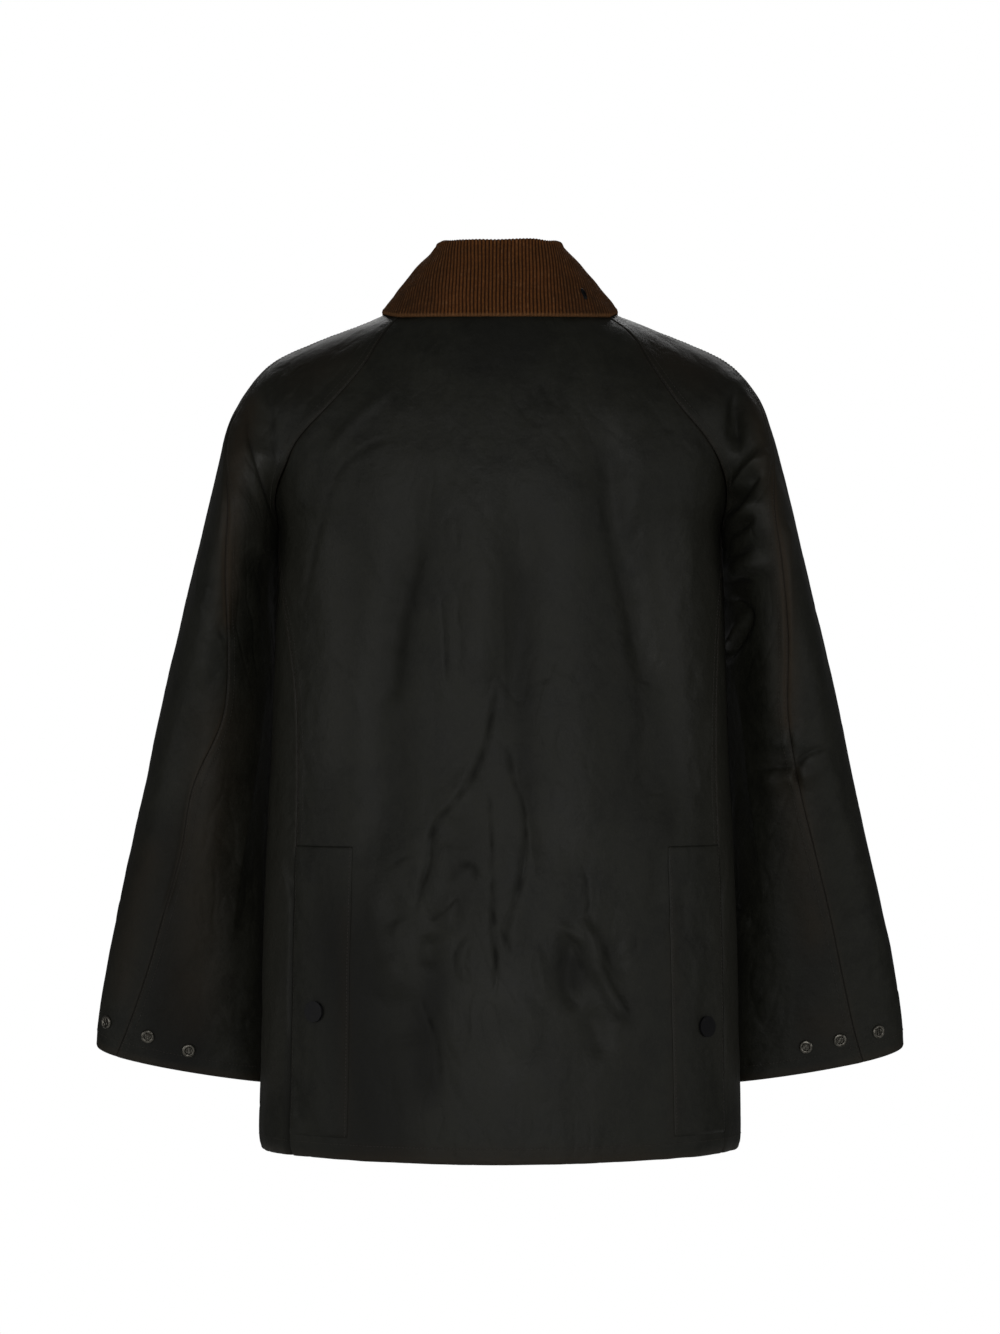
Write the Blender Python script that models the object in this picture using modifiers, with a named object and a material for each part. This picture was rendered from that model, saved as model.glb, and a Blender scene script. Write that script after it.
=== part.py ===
"""A waxed cotton jacket, hollow as when it is worn, in metres with +Z up.

The front faces -Y and +X is the wearer's left. The origin is the middle of the neck opening,
level with the back neck seam, where the wearer's neck and shoulders carry the jacket.

Every panel is a cloth wall lofted over one form. The body is a stack of rings, the sleeves are
ribs that run from the raglan seam over the shoulder and back, and the collar is one strip that
climbs the neck, folds over and lies down on the shoulders. Tables are in millimetres and degrees.
"""

import functools
import math
from typing import NamedTuple

import bmesh
import bpy
import numpy as np
from mathutils import Vector

MM = 0.001
LEFT, RIGHT = 1, -1
SIDES = {"left": LEFT, "right": RIGHT}

# Driving dimensions, in millimetres.
CLOTH = 1.6  # waxed cotton with its backing
CORDUROY = 2.2  # collar cloth, doubled
SEAM_GAP = 0.3  # between neighbouring pieces
STUD_GAP = 0.35  # between a stud and the cloth it sits on
PLACKET_TURN = 0.253  # share of the back panel, from each side seam, that a vent placket covers
FLY_HALF_ANGLE = 13.0  # half the fly's width, as an angle at the centre front
FRONT_TUCK = 0.2  # how far the sleeve's front half swings in towards the body under the arm
COLLAR_CREST_RADIUS = 51.0  # neck size at the collar's fold
COLLAR_SQUARENESS = 2.6  # 2 for a round fold line, more for a squarer one
COLLAR_STAND_BOW = 6.0  # how far the stand bows in towards the neck
COLLAR_FALL_BOW = 4.8  # how far the fall bows out
COLLAR_FOLD = 4.6  # outer radius of the fold itself

UNDERARM = 7  # the row of both tables where the armhole closes
CUFF = 16  # last row of the sleeve table
HEM = 16  # last row of the body table
PLACKET_TOP = 11  # the body row where the vents begin
HEM_STITCH = 15  # the body row of the hem's stitching


class Ring(NamedTuple):
    """One ring round the body, with the seams that cross it."""

    z_back: float
    z_side: float
    z_front: float
    half_width: float
    depth_back: float
    depth_front: float
    squareness: float
    hollow: float  # how far the sleeve presses the side in
    seam_left: float  # left raglan seam above the underarm, left side seam below it
    seam_right: float
    seam_front: float  # front raglan seams, unused below the underarm


BODY = (
    Ring(0, -14, -75, 68, 62, 60, 2.2, 0, 57, 57, 119),
    Ring(-41, -41, -122, 126, 92, 90, 2.4, 0, 53.8, 60.5, 127),
    Ring(-73, -73, -157, 168, 107, 107, 2.5, 0, 52.5, 58, 127),
    Ring(-110, -110, -190, 198, 118, 118, 2.5, 0, 58, 60.5, 123),
    Ring(-140, -140, -215, 204, 124, 124, 2.5, 0, 65.5, 67.3, 117),
    Ring(-165, -165, -235, 203, 128, 128, 2.5, 0, 70, 73.2, 110),
    Ring(-190, -190, -250, 198, 131, 131, 2.5, 0, 78.5, 80.5, 101),
    Ring(-215, -215, -265, 192, 132, 133, 2.4, 5, 90, 90, 90),
    Ring(-275, -275, -310, 194.5, 131, 135, 2.3, 12, 76.5, 79.5, 90),
    Ring(-345, -345, -368, 196.5, 130, 136, 2.3, 15, 69, 75, 90),
    Ring(-420, -420, -433, 199.5, 130, 138, 2.3, 15, 66.8, 72.8, 90),
    Ring(-491, -491, -497, 203, 131, 140, 2.3, 13, 66.3, 72.3, 90),
    Ring(-558, -558, -560, 205.5, 133, 141, 2.3, 11, 66, 72, 90),
    Ring(-621, -621, -622, 207, 135, 142, 2.3, 8, 65.8, 71.8, 90),
    Ring(-682, -682, -682, 208.5, 137, 143, 2.3, 4, 65.6, 71.6, 90),
    Ring(-739, -736, -738, 209, 138.5, 143, 2.3, 1, 65.5, 71.5, 90),
    Ring(-752, -749, -751, 207, 138, 142.5, 2.25, 0, 65.5, 71.5, 90),
)


class Rib(NamedTuple):
    """One rib of the left sleeve, from the seam over the ridge; x and turns mirror for the right."""

    ridge_x: float
    ridge_y: float
    ridge_z: float
    under_x: float
    under_y: float
    under_z: float
    turn: float  # 0 leaves the seam along the body, 1 leaves it round the arm
    spread: float  # outward lean of that arm direction
    reach_seam: float  # how far the rib runs straight from the seam
    reach_ridge: float  # and from the ridge
    slant: float  # how far the rib dips behind the ridge and rises before it
    over_left: float  # place of the over-arm seam, 0 on the ridge, -1 at the back seam
    over_right: float


SLEEVE = (
    Rib(68, 0, -14, 182, 20, 20, 0, 0.5, 14, 16, 0, 0, 0),
    Rib(118, -2, -35, 184, 17, -20, 0, 0.5, 25, 28, 0, 0, 0),
    Rib(160, -4, -51, 186, 14, -60, 0, 0.5, 35, 40, 0, -0.02, -0.02),
    Rib(200, -5, -70.5, 187, 11, -95, 0.1, 0.5, 40, 50, 0, -0.1, -0.1),
    Rib(224.5, -5, -99, 188, 8, -125, 0.3, 0.5, 42, 62, 0, -0.25, -0.2),
    Rib(236, -5, -130, 190, 5, -155, 0.65, 0.5, 48, 78, 0, -0.32, -0.3),
    Rib(244, -5, -158, 191, 2, -185, 0.9, 0.2, 75, 100, 0, -0.37, -0.35),
    Rib(252, -5, -190, 192, 0, -215, 1, 0.12, 118, 120, 0, -0.43, -0.4),
    Rib(264.5, -9, -240, 193, -18, -262, 1, 0.22, 114, 116, 0, -0.53, -0.45),
    Rib(278.5, -15, -297, 192, -31, -318, 1, 0.26, 107, 109, 0, -0.6, -0.48),
    Rib(293.5, -21, -360, 192, -40, -382, 1, 0.26, 98, 100, 0, -0.6, -0.53),
    Rib(308, -28, -425, 195, -46, -449, 1, 0.22, 89, 90, 0, -0.46, -0.5),
    Rib(321, -35, -482, 198, -51, -510, 1, 0.16, 80, 81, 0, -0.43, -0.45),
    Rib(333.5, -42, -537, 200, -56, -568, 1, 0.1, 70, 71, 0, -0.38, -0.41),
    Rib(345, -49, -592, 200, -62, -626, 1, 0.05, 60, 61, 3, -0.33, -0.38),
    Rib(353, -54, -638, 200, -67, -674, 1, 0, 52, 53, 9, -0.27, -0.35),
    Rib(355.5, -57, -664.5, 199, -69, -698, 1, 0, 48, 49, 12, -0.22, -0.32),
)


class Fold(NamedTuple):
    """A soft ridge (positive depth) or trough (negative) along a path seen from behind or before."""

    face: int  # +1 on the back, -1 on the front
    path: tuple  # (x, z) points
    width: float
    depth: float


BODY_FOLDS = (
    Fold(1, ((62, -150), (82, -260), (100, -345), (98, -440), (112, -520)), 20, -7),
    Fold(1, ((-12, -160), (-20, -260), (-8, -345), (0, -400)), 19, -6),
    Fold(1, ((-88, -110), (-98, -200), (-118, -290), (-132, -370), (-130, -480)), 20, -7),
    Fold(1, ((22, -200), (18, -300), (30, -380)), 24, 4),
    Fold(1, ((-70, -310), (-72, -400), (-82, -500)), 26, 4),
    Fold(1, ((0, -402), (28, -440), (52, -485), (64, -540)), 12, -6),
    Fold(1, ((-4, -402), (-22, -450), (-30, -500), (-18, -560)), 12, -5),
    Fold(1, ((20, -420), (44, -470)), 16, 4),
    Fold(1, ((112, -540), (98, -590), (84, -622)), 18, 5),
    Fold(1, ((-40, -560), (-62, -610), (-80, -670)), 17, -6),
    Fold(1, ((88, -600), (72, -660)), 18, -4),
    Fold(-1, ((70, -250), (86, -400), (92, -560), (96, -720)), 26, -6),
    Fold(-1, ((-70, -250), (-88, -400), (-90, -560), (-100, -720)), 26, -6),
    Fold(-1, ((125, -230), (140, -420), (138, -600)), 22, 4),
    Fold(-1, ((-125, -230), (-140, -420), (-142, -600)), 22, 4),
)
SLEEVE_FOLDS = (
    Fold(1, ((216, -86), (211, -130), (200, -180)), 12, -6),
    Fold(1, ((-209, -84), (-207, -140), (-204, -175)), 12, -6),
    Fold(1, ((-238, -140), (-215, -165), (-203, -200)), 12, -7),
    Fold(1, ((-232, -190), (-214, -215), (-206, -235)), 11, -6),
    Fold(1, ((-222, -235), (-238, -260)), 13, 5),
    Fold(1, ((-212, -395), (-250, -410), (-300, -398)), 12, -5),
    Fold(1, ((262, -330), (270, -430), (292, -540)), 16, -5),
    Fold(1, ((226, -330), (232, -450)), 16, -4),
    Fold(-1, ((205, -120), (214, -190), (222, -250)), 13, -6),
    Fold(-1, ((-205, -120), (-214, -190), (-222, -250)), 13, -6),
    Fold(-1, ((215, -395), (255, -405), (300, -390)), 13, -5),
    Fold(-1, ((-215, -395), (-255, -405), (-300, -390)), 13, -5),
)


class CollarRow(NamedTuple):
    """The collar at one place round the neck, from the centre back to the centre front."""

    angle: float  # round the neck, 0 at the centre back
    crest_z: float  # height of the fold
    fall_row: float  # where the fall's edge lies, as a row of the body and sleeve tables
    fall_angle: float  # and the angle that it has drifted to


COLLAR = (
    CollarRow(0, 34.4, 0.84, 0),
    CollarRow(45, 34.4, 0.81, 45),
    CollarRow(90, 32.3, 0.66, 90),
    CollarRow(125, 14, 0.82, 121),
    CollarRow(155, -14, 1.04, 143),
    CollarRow(178.5, -34, 1.12, 158),
)


class StudPlace(NamedTuple):
    """A cuff stud's place on the back of a sleeve: rib number and share of the way to the seam."""

    row: float
    share: float


CUFF_STUDS = {
    LEFT: (StudPlace(15.05, -0.14), StudPlace(15.1, -0.36), StudPlace(15.25, -0.52)),
    RIGHT: (StudPlace(15.15, -0.24), StudPlace(15.12, -0.41), StudPlace(15.12, -0.54)),
}
VENT_STUDS = {LEFT: StudPlace(13.09, 0.89), RIGHT: StudPlace(13.31, -0.90)}
FLY_STUD_ROWS = (1.6, 6.5, 9.0, 11.2, 13.3)
COLLAR_STUD_TURN = -0.28  # place along the collar, towards the wearer's right
COLLAR_STUD_DROP = 0.72  # place down the fall

# Turned profiles of the studs: (radius, height), down the outer side.
CAP_STUD = ((0, 2.6), (4.6, 2.2), (7.0, 1.2), (7.4, 0))
RING_STUD = ((0, 0.7), (2.0, 0.7), (2.6, 1.6), (4.8, 1.7), (5.9, 0.9), (6.0, 0))


class Finish(NamedTuple):
    """A material's name and looks."""

    name: str
    color: tuple
    roughness: float
    metallic: float


WAXED_COTTON = Finish("waxed_cotton", (0.012, 0.011, 0.009), 0.5, 0.0)
CORDUROY_COTTON = Finish("corduroy", (0.055, 0.022, 0.007), 0.9, 0.0)
BRIGHT_METAL = Finish("bright_metal", (0.16, 0.155, 0.14), 0.3, 1.0)
DARK_METAL = Finish("dark_metal", (0.010, 0.010, 0.011), 0.4, 0.6)

COLUMNS_BACK, COLUMNS_FRONT, COLUMNS_SLEEVE, COLUMNS_COLLAR = 22, 11, 12, 40
STUD_STEPS = 14
STEP = 1e-3  # of a table row or of a turn, for slopes


def spline(table, row):
    """The table's columns at fractional row numbers, on a smooth curve through its rows."""
    values = np.array(table, float)
    row = np.asarray(row, float)
    low = np.clip(np.floor(row).astype(int), 0, len(values) - 2)
    f = (row - low)[..., None]
    padded = np.vstack([2 * values[0] - values[1], values, 2 * values[-1] - values[-2]])
    p0, p1, p2, p3 = (padded[low + k] for k in range(4))
    return p1 + 0.5 * f * (
        p2 - p0 + f * (2 * p0 - 5 * p1 + 4 * p2 - p3 + f * (3 * (p1 - p2) + p3 - p0))
    )


def unit(v):
    """Vectors made one long."""
    return v / np.maximum(np.linalg.norm(v, axis=-1, keepdims=True), 1e-12)


def smooth(x):
    """0 to 1 with level ends."""
    x = np.clip(x, 0, 1)
    return x * x * (3 - 2 * x)


def wrap(angle):
    """Angles brought between -180 and 180 degrees."""
    return (np.asarray(angle, float) + 180) % 360 - 180


@functools.cache
def fold_line(fold):
    """A fold's path as a smooth line of many points."""
    return spline(fold.path, np.linspace(0, len(fold.path) - 1, 4 * len(fold.path)))


def fold_height(folds, face, x, z):
    """How far the folds of one face lift the cloth at points seen at (x, z)."""
    x, z, face = np.broadcast_arrays(x, z, face)
    lift = np.zeros(x.shape)
    for fold in folds:
        line = fold_line(fold)
        low, high = line.min(axis=0) - 3 * fold.width, line.max(axis=0) + 3 * fold.width
        near = (face * fold.face > 0) & (x > low[0]) & (x < high[0]) & (z > low[1]) & (z < high[1])
        if not near.any():
            continue
        point = np.stack([x[near], z[near]], -1)[:, None, :]
        start, run = line[:-1], np.diff(line, axis=0)
        t = np.clip(((point - start) * run).sum(-1) / (run * run).sum(-1), 0, 1)
        away = np.linalg.norm(point - start - t[..., None] * run, axis=-1)
        best = away.argmin(axis=1)[:, None]
        along = (best + np.take_along_axis(t, best, 1))[:, 0] / len(run)
        away = np.take_along_axis(away, best, 1)[:, 0]
        ends = smooth(4 * along + 0.15) * smooth(4 * (1 - along) + 0.15)
        shown = smooth(face[near] * fold.face * 2)
        lift[near] += shown * fold.depth * ends * np.exp(-((away / fold.width) ** 2))
    return lift


def body_point(angle, row):
    """Points of the body's outer face at an angle round it, 0 at the centre back and 90 at the left."""
    angle, row = np.broadcast_arrays(np.asarray(angle, float), np.asarray(row, float))
    ring = np.moveaxis(spline([r[:8] for r in BODY], row), -1, 0)
    z_back, z_side, z_front, width, depth_back, depth_front, square, hollow = ring
    s, c = np.sin(np.radians(angle)), np.cos(np.radians(angle))
    depth = np.where(c > 0, depth_back, depth_front)
    radius = ((np.abs(s) / width) ** square + (np.abs(c) / depth) ** square) ** (-1 / square)
    z = z_side + (np.where(c > 0, z_back, z_front) - z_side) * c * c
    turn = np.abs(wrap(angle))
    radius = radius - hollow * smooth((turn - 89) / 14) * smooth((150 - turn) / 40)
    face = np.clip(3 * c, -1, 1)
    radius = radius + fold_height(BODY_FOLDS, face, radius * s, z)
    return np.stack([radius * s, radius * c, z], -1)


def body_normal(angle, row):
    """Unit normals of the body's outer face."""
    row = np.clip(row, STEP, HEM - STEP)
    round_it = body_point(angle + STEP * 90, row) - body_point(angle - STEP * 90, row)
    down_it = body_point(angle, row + STEP) - body_point(angle, row - STEP)
    return unit(np.cross(down_it, round_it) * -1)


def seam_angle(row, side, front=False):
    """The angle of the raglan seam above the underarm, or of the side seam below it."""
    column = "seam_front" if front else "seam_left" if side == LEFT else "seam_right"
    values = [[getattr(r, column)] for r in BODY]
    row = np.asarray(row, float)
    raglan = spline(values[: UNDERARM + 1], np.minimum(row, UNDERARM))[..., 0]
    side_seam = spline(values[UNDERARM:], np.maximum(row, UNDERARM) - UNDERARM)[..., 0]
    return side * np.where(row <= UNDERARM, raglan, side_seam)


def armhole_point(row, side, front):
    """Where the sleeve leaves the body, or its underarm line below the armhole, with its direction."""
    row = np.asarray(row, float)
    rib = spline(SLEEVE, row)
    on_body = np.minimum(row, UNDERARM)
    angle = seam_angle(on_body, side, front)
    seam = body_point(angle, on_body)
    low, high = np.clip(on_body - STEP, 0, None), np.clip(on_body + STEP, None, UNDERARM)
    run = body_point(seam_angle(high, side, front), high)
    run = run - body_point(seam_angle(low, side, front), low)
    away = np.cross(unit(run), body_normal(angle, on_body))
    out = body_point(angle + side * 0.5, on_body) - seam
    away = away * np.sign((away * out).sum(-1, keepdims=True)) * (-1 if front else 1)
    lean = rib[..., 7]
    if front:
        lean = (1 - rib[..., 6]) * lean - FRONT_TUCK * smooth(row - UNDERARM)
    arm = np.stack([side * lean, np.full(row.shape, -1.0 if front else 1.0), 0 * row], -1)
    turn = rib[..., 6:7]
    way = unit((1 - turn) * away + turn * unit(arm))
    line = rib[..., 3:6] * np.array([side, 1, 1])
    return np.where(row[..., None] <= UNDERARM, seam, line), way


def sleeve_point(side, turn, row):
    """Points of a sleeve's outer face; turn is -1 at the back seam, 0 on the ridge, 1 at the front."""
    turn, row = np.broadcast_arrays(np.asarray(turn, float), np.asarray(row, float))
    turn = np.clip(turn, -1, 1)
    rib = spline(SLEEVE, row)
    ridge = rib[..., 0:3] * np.array([side, 1, 1])
    from_back, way_back = armhole_point(row, side, front=False)
    from_front, way_front = armhole_point(row, side, front=True)
    behind = (turn <= 0)[..., None]
    start = np.where(behind, from_back, from_front)
    way = np.where(behind, way_back, way_front)
    over = np.where(behind, 1.0, -1.0) * np.array([0, 1, 0])
    slant = np.where(behind, 1.0, -1.0) * np.array([0, 0, 1])
    t = 1 - np.abs(turn)[..., None]
    point = (
        start * (1 - t) ** 3
        + 3 * (start + way * rib[..., 8:9]) * t * (1 - t) ** 2
        + 3 * (ridge + over * rib[..., 9:10] - slant * rib[..., 10:11]) * t**2 * (1 - t)
        + ridge * t**3
    )
    return point


def sleeve_normal(side, turn, row):
    """Unit normals of sleeve_point, taken just inside its edges."""
    row = np.clip(row, STEP, CUFF - STEP)
    turn = np.clip(turn, -1 + STEP, 1 - STEP)
    across = sleeve_point(side, turn + STEP, row) - sleeve_point(side, turn - STEP, row)
    down = sleeve_point(side, turn, row + STEP) - sleeve_point(side, turn, row - STEP)
    return unit(np.cross(across, down) * side)


def sleeve_face(side, turn, row):
    """Points of a sleeve's outer face with its folds, and its unit normals."""
    turn, row = np.broadcast_arrays(np.asarray(turn, float), np.asarray(row, float))
    normal = sleeve_normal(side, turn, row)
    seam = (np.abs(turn) > 1 - 2 * STEP)[..., None]
    angle = np.where(turn < 0, seam_angle(row, side), seam_angle(row, side, front=True))
    turned = spline(SLEEVE, row)[..., 6:7]
    on_body = body_normal(angle, np.minimum(row, UNDERARM))
    at_raglan = unit((1 - turned) * on_body + turned * normal)
    under = unit(sleeve_normal(side, -1.0, row) + sleeve_normal(side, 1.0, row))
    normal = np.where(seam, np.where(row[..., None] < UNDERARM, at_raglan, under), normal)
    point = sleeve_point(side, turn, row)
    face = np.clip(-5 * np.sin(np.pi * turn), -1, 1)
    lift = fold_height(SLEEVE_FOLDS, face, point[..., 0], point[..., 2])
    lift = lift * smooth((1 - np.abs(turn)) / 0.15) * smooth((CUFF - row) / 0.8)
    return point + normal * lift[..., None], normal


def shoulder_point(angle, row):
    """The jacket's outer face near the neck, body and sleeve heads together."""
    side = np.where(angle < 0, RIGHT, LEFT)
    turn = np.abs(angle)
    back, front = np.abs(seam_angle(row, 1)), np.abs(seam_angle(row, 1, front=True))
    share = np.clip(2 * (turn - back) / (front - back) - 1, -1, 1)
    on_sleeve = (turn > back) & (turn < front)
    sleeve = np.where(
        (side == LEFT)[..., None], sleeve_point(LEFT, share, row), sleeve_point(RIGHT, share, row)
    )
    return np.where(on_sleeve[..., None], sleeve, body_point(angle, row))


def shoulder_normal(angle, row):
    """Unit normals of shoulder_point."""
    row = np.maximum(row, STEP)
    across = shoulder_point(angle + 1, row) - shoulder_point(angle - 1, row)
    down = shoulder_point(angle, row + 0.02) - shoulder_point(angle, row - STEP)
    return unit(np.cross(across, down))


def collar_face(turn, drop):
    """The collar's corduroy face: turn runs from -1 to 1 round the neck, drop from the neck seam
    (0) up to the fold (1) and down the fall to its edge (2)."""
    turn, drop = np.broadcast_arrays(np.asarray(turn, float), np.asarray(drop, float))
    side = np.where(turn < 0, -1, 1)
    place = np.interp(
        np.abs(turn) * COLLAR[-1].angle, [c.angle for c in COLLAR], range(len(COLLAR))
    )
    angle, crest_z, fall_row, fall_angle = np.moveaxis(spline(COLLAR, place), -1, 0)
    angle = np.abs(turn) * COLLAR[-1].angle
    s, c = np.sin(np.radians(angle)) * side, np.cos(np.radians(angle))
    seam = shoulder_point(angle * side, np.zeros(angle.shape))
    normal = shoulder_normal(angle * side, np.zeros(angle.shape))
    up_cloth = unit(seam - shoulder_point(angle * side, np.full(angle.shape, 0.05)))
    seam = seam - normal * CLOTH / 2 + up_cloth * (SEAM_GAP + CLOTH)
    outward = np.stack([s, c, 0 * s], -1)
    up = np.array([0, 0, 1.0])
    n = COLLAR_SQUARENESS
    radius = COLLAR_CREST_RADIUS * (np.abs(s) ** n + np.abs(c) ** n) ** (-1 / n)
    crest = outward * radius[..., None] + up * crest_z[..., None]
    edge_angle = fall_angle * side
    edge = shoulder_point(edge_angle, fall_row)
    edge = edge + shoulder_normal(edge_angle, fall_row) * (CORDUROY + 3 * SEAM_GAP)
    k = COLLAR_FOLD
    inner = crest - outward * k - up * k
    outer = crest + outward * k - up * 0.6 * k
    rise = np.clip(drop / 0.8, 0, 1)[..., None]
    stand = seam * (1 - rise) + inner * rise - outward * (COLLAR_STAND_BOW * rise * (1 - rise))
    bend = np.clip((drop - 0.8) / 0.4, 0, 1)[..., None]
    turned = np.pi * bend
    arch = inner * (0.5 + 0.5 * np.cos(turned)) + outer * (0.5 - 0.5 * np.cos(turned))
    arch = arch + up * (0.9 * k * np.sin(turned))
    fall = np.clip((drop - 1.2) / 0.8, 0, 1)[..., None]
    bow = COLLAR_FALL_BOW * fall * (1 - fall)
    lean = outer * (1 - fall) + edge * fall + (outward + 0.6 * up) * bow
    drop = drop[..., None]
    return np.where(drop <= 0.8, stand, np.where(drop <= 1.2, arch, lean))


def collar_normal(turn, drop):
    """Unit normals of the collar's corduroy face, which looks at the neck below the fold."""
    turn = np.clip(turn, -1 + STEP, 1 - STEP)
    drop = np.clip(drop, STEP, 2 - STEP)
    across = collar_face(turn + STEP, drop) - collar_face(turn - STEP, drop)
    down = collar_face(turn, drop + STEP) - collar_face(turn, drop - STEP)
    return unit(np.cross(across, down))


def drawn_in(face):
    """The grid with its first and last columns moved in by half a seam gap."""
    face = face.copy()
    for edge, inner in ((0, 1), (-1, -2)):
        face[:, edge] += unit(face[:, inner] - face[:, edge]) * SEAM_GAP / 2
    return face


def wall(name, face, normal, thickness, finish, lift=0.0):
    """A cloth wall: a grid sheet on face points in millimetres, drawn out backwards to a thickness."""
    face = face + normal * (lift + thickness) if lift else face
    bm = bmesh.new()
    rows, columns = face.shape[:2]
    bmesh.ops.create_grid(bm, x_segments=columns - 1, y_segments=rows - 1, size=1)
    behind = bm.verts.layers.float_vector.new("behind")
    for vert, point, way in zip(bm.verts, face.reshape(-1, 3), normal.reshape(-1, 3)):
        vert.co = Vector(point * MM)
        vert[behind] = Vector(-way * thickness * MM)
    bmesh.ops.triangulate(bm, faces=bm.faces[:], quad_method="FIXED")
    drawn_out = bmesh.ops.extrude_face_region(bm, geom=bm.faces[:])["geom"]
    for vert in drawn_out:
        if isinstance(vert, bmesh.types.BMVert):
            vert.co += vert[behind]
    rim = [rim_face for rim_face in bm.faces if len(rim_face.verts) == 4]
    bmesh.ops.triangulate(bm, faces=rim, quad_method="SHORT_EDGE")
    bmesh.ops.recalc_face_normals(bm, faces=bm.faces[:])
    mesh = bpy.data.meshes.new(name)
    bm.to_mesh(mesh)
    bm.free()
    mesh.shade_smooth()
    mesh.set_sharp_from_angle(angle=math.radians(50))
    return add_object(name, mesh, finish)


def add_object(name, mesh, finish):
    """An object for a mesh with a material of its own, in the jacket's collection."""
    material = bpy.data.materials.new(f"{name}_{finish.name}")
    material.use_nodes = True
    shader = material.node_tree.nodes["Principled BSDF"]
    shader.inputs["Base Color"].default_value = (*finish.color, 1)
    shader.inputs["Roughness"].default_value = finish.roughness
    shader.inputs["Metallic"].default_value = finish.metallic
    mesh.materials.append(material)
    obj = bpy.data.objects.new(name, mesh)
    bpy.data.collections["jacket"].objects.link(obj)
    obj.parent = bpy.data.objects["jacket_origin"]
    return obj


def body_rows(first=0.0, last=HEM):
    """Rows of the body's loft, two to each ring, one at the hem's turn."""
    rows = [k / 2 for k in range(2 * HEM_STITCH + 1)] + [HEM]
    return np.array([r for r in rows if first <= r <= last])


def back_shares():
    """Columns of the back panel as shares from -1 (right edge) to 1 (left edge)."""
    edge = 1 - PLACKET_TURN
    placket = np.linspace(edge, 1, 4)[1:]
    return np.concatenate([-placket[::-1], np.linspace(-edge, edge, COLUMNS_BACK - 5), placket])


def back_angles(rows, shares):
    """Angles of the back panel's columns in each row."""
    left, right = seam_angle(rows, LEFT)[:, None], seam_angle(rows, RIGHT)[:, None]
    return (left + right) / 2 + (left - right) / 2 * shares[None, :]


def make_back():
    """The back panel, between the raglan seams and side seams, from the neck to the hem."""
    rows = body_rows()
    angles = back_angles(rows, back_shares())
    grid = np.broadcast_to(rows[:, None], angles.shape)
    face = drawn_in(body_point(angles, grid))
    wall("back", face, body_normal(angles, grid), CLOTH, WAXED_COTTON)


def make_placket(name, side):
    """A vent's placket: a strip on the back panel's lower corner, made from the panel's points."""
    rows = body_rows(PLACKET_TOP, HEM_STITCH)
    shares = np.array([s for s in back_shares() if s * side >= 1 - PLACKET_TURN - 1e-9])
    angles = back_angles(rows, shares)
    grid = np.broadcast_to(rows[:, None], angles.shape)
    face, normal = body_point(angles, grid), body_normal(angles, grid)
    wall(name, face, normal, CLOTH, WAXED_COTTON, lift=SEAM_GAP)


def front_angles(rows, side):
    """Angles of a front panel's columns: even up to the fly, then the fly's own columns."""
    fly_edge = 180 - FLY_HALF_ANGLE
    fly = np.linspace(fly_edge, 180, 3)[1:]
    raglan, side_seam = seam_angle(rows, side, front=True), seam_angle(rows, side)
    start = np.abs(np.where(rows <= UNDERARM, raglan, side_seam))[:, None]
    even = start + (fly_edge - start) * np.linspace(0, 1, COLUMNS_FRONT - 1)
    return side * np.hstack([even, np.broadcast_to(fly, (len(rows), 2))])


def make_front(name, side):
    """A front panel, from its raglan seam and side seam to the centre front."""
    rows = body_rows()
    angles = front_angles(rows, side)
    grid = np.broadcast_to(rows[:, None], angles.shape)
    face = drawn_in(body_point(angles, grid))
    wall(name, face, body_normal(angles, grid), CLOTH, WAXED_COTTON)


def make_fly():
    """The fly over the centre front, made from the fronts' points."""
    rows = body_rows(1.0, HEM_STITCH)
    left = front_angles(rows, LEFT)[:, -3:]
    angles = np.hstack([left, 360 - left[:, 1::-1]])
    grid = np.broadcast_to(rows[:, None], angles.shape)
    face, normal = body_point(angles, grid), body_normal(angles, grid)
    wall("fly", face, normal, CLOTH, WAXED_COTTON, lift=SEAM_GAP)


def sleeve_rows():
    """Rows of a sleeve's loft: the body's own above the underarm, then one to a rib."""
    tube = [UNDERARM + k * 0.75 for k in range(1, 12)]
    return np.array([k / 2 for k in range(2 * UNDERARM + 1)] + tube + [15.6, CUFF])


def make_sleeve(name, side, front):
    """Half a sleeve, between the over-arm seam and the back or front raglan and underarm seams."""
    rows = sleeve_rows()
    column = 11 if side == LEFT else 12
    seam = spline(SLEEVE, rows)[:, column, None]
    low, high = (seam, 1) if front else (-1, seam)
    turns = low + (high - low) * np.linspace(0, 1, COLUMNS_SLEEVE)[None, :]
    grid = np.broadcast_to(rows[:, None], turns.shape)
    face, normal = sleeve_face(side, turns, grid)
    wall(name, drawn_in(face), normal, CLOTH, WAXED_COTTON)


def make_collar():
    """The corduroy collar: stand, fold and fall in one strip, open at the centre front."""
    turns = np.linspace(-1, 1, COLUMNS_COLLAR + 1)
    drops = np.array([0, 0.35, 0.8, 0.88, 0.96, 1.04, 1.12, 1.2, 1.4, 1.65, 1.85, 2.0])
    grid_turn, grid_drop = np.meshgrid(turns, drops)
    face, normal = collar_face(grid_turn, grid_drop), collar_normal(grid_turn, grid_drop)
    wall("collar", face, normal, CORDUROY, CORDUROY_COTTON)


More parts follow.
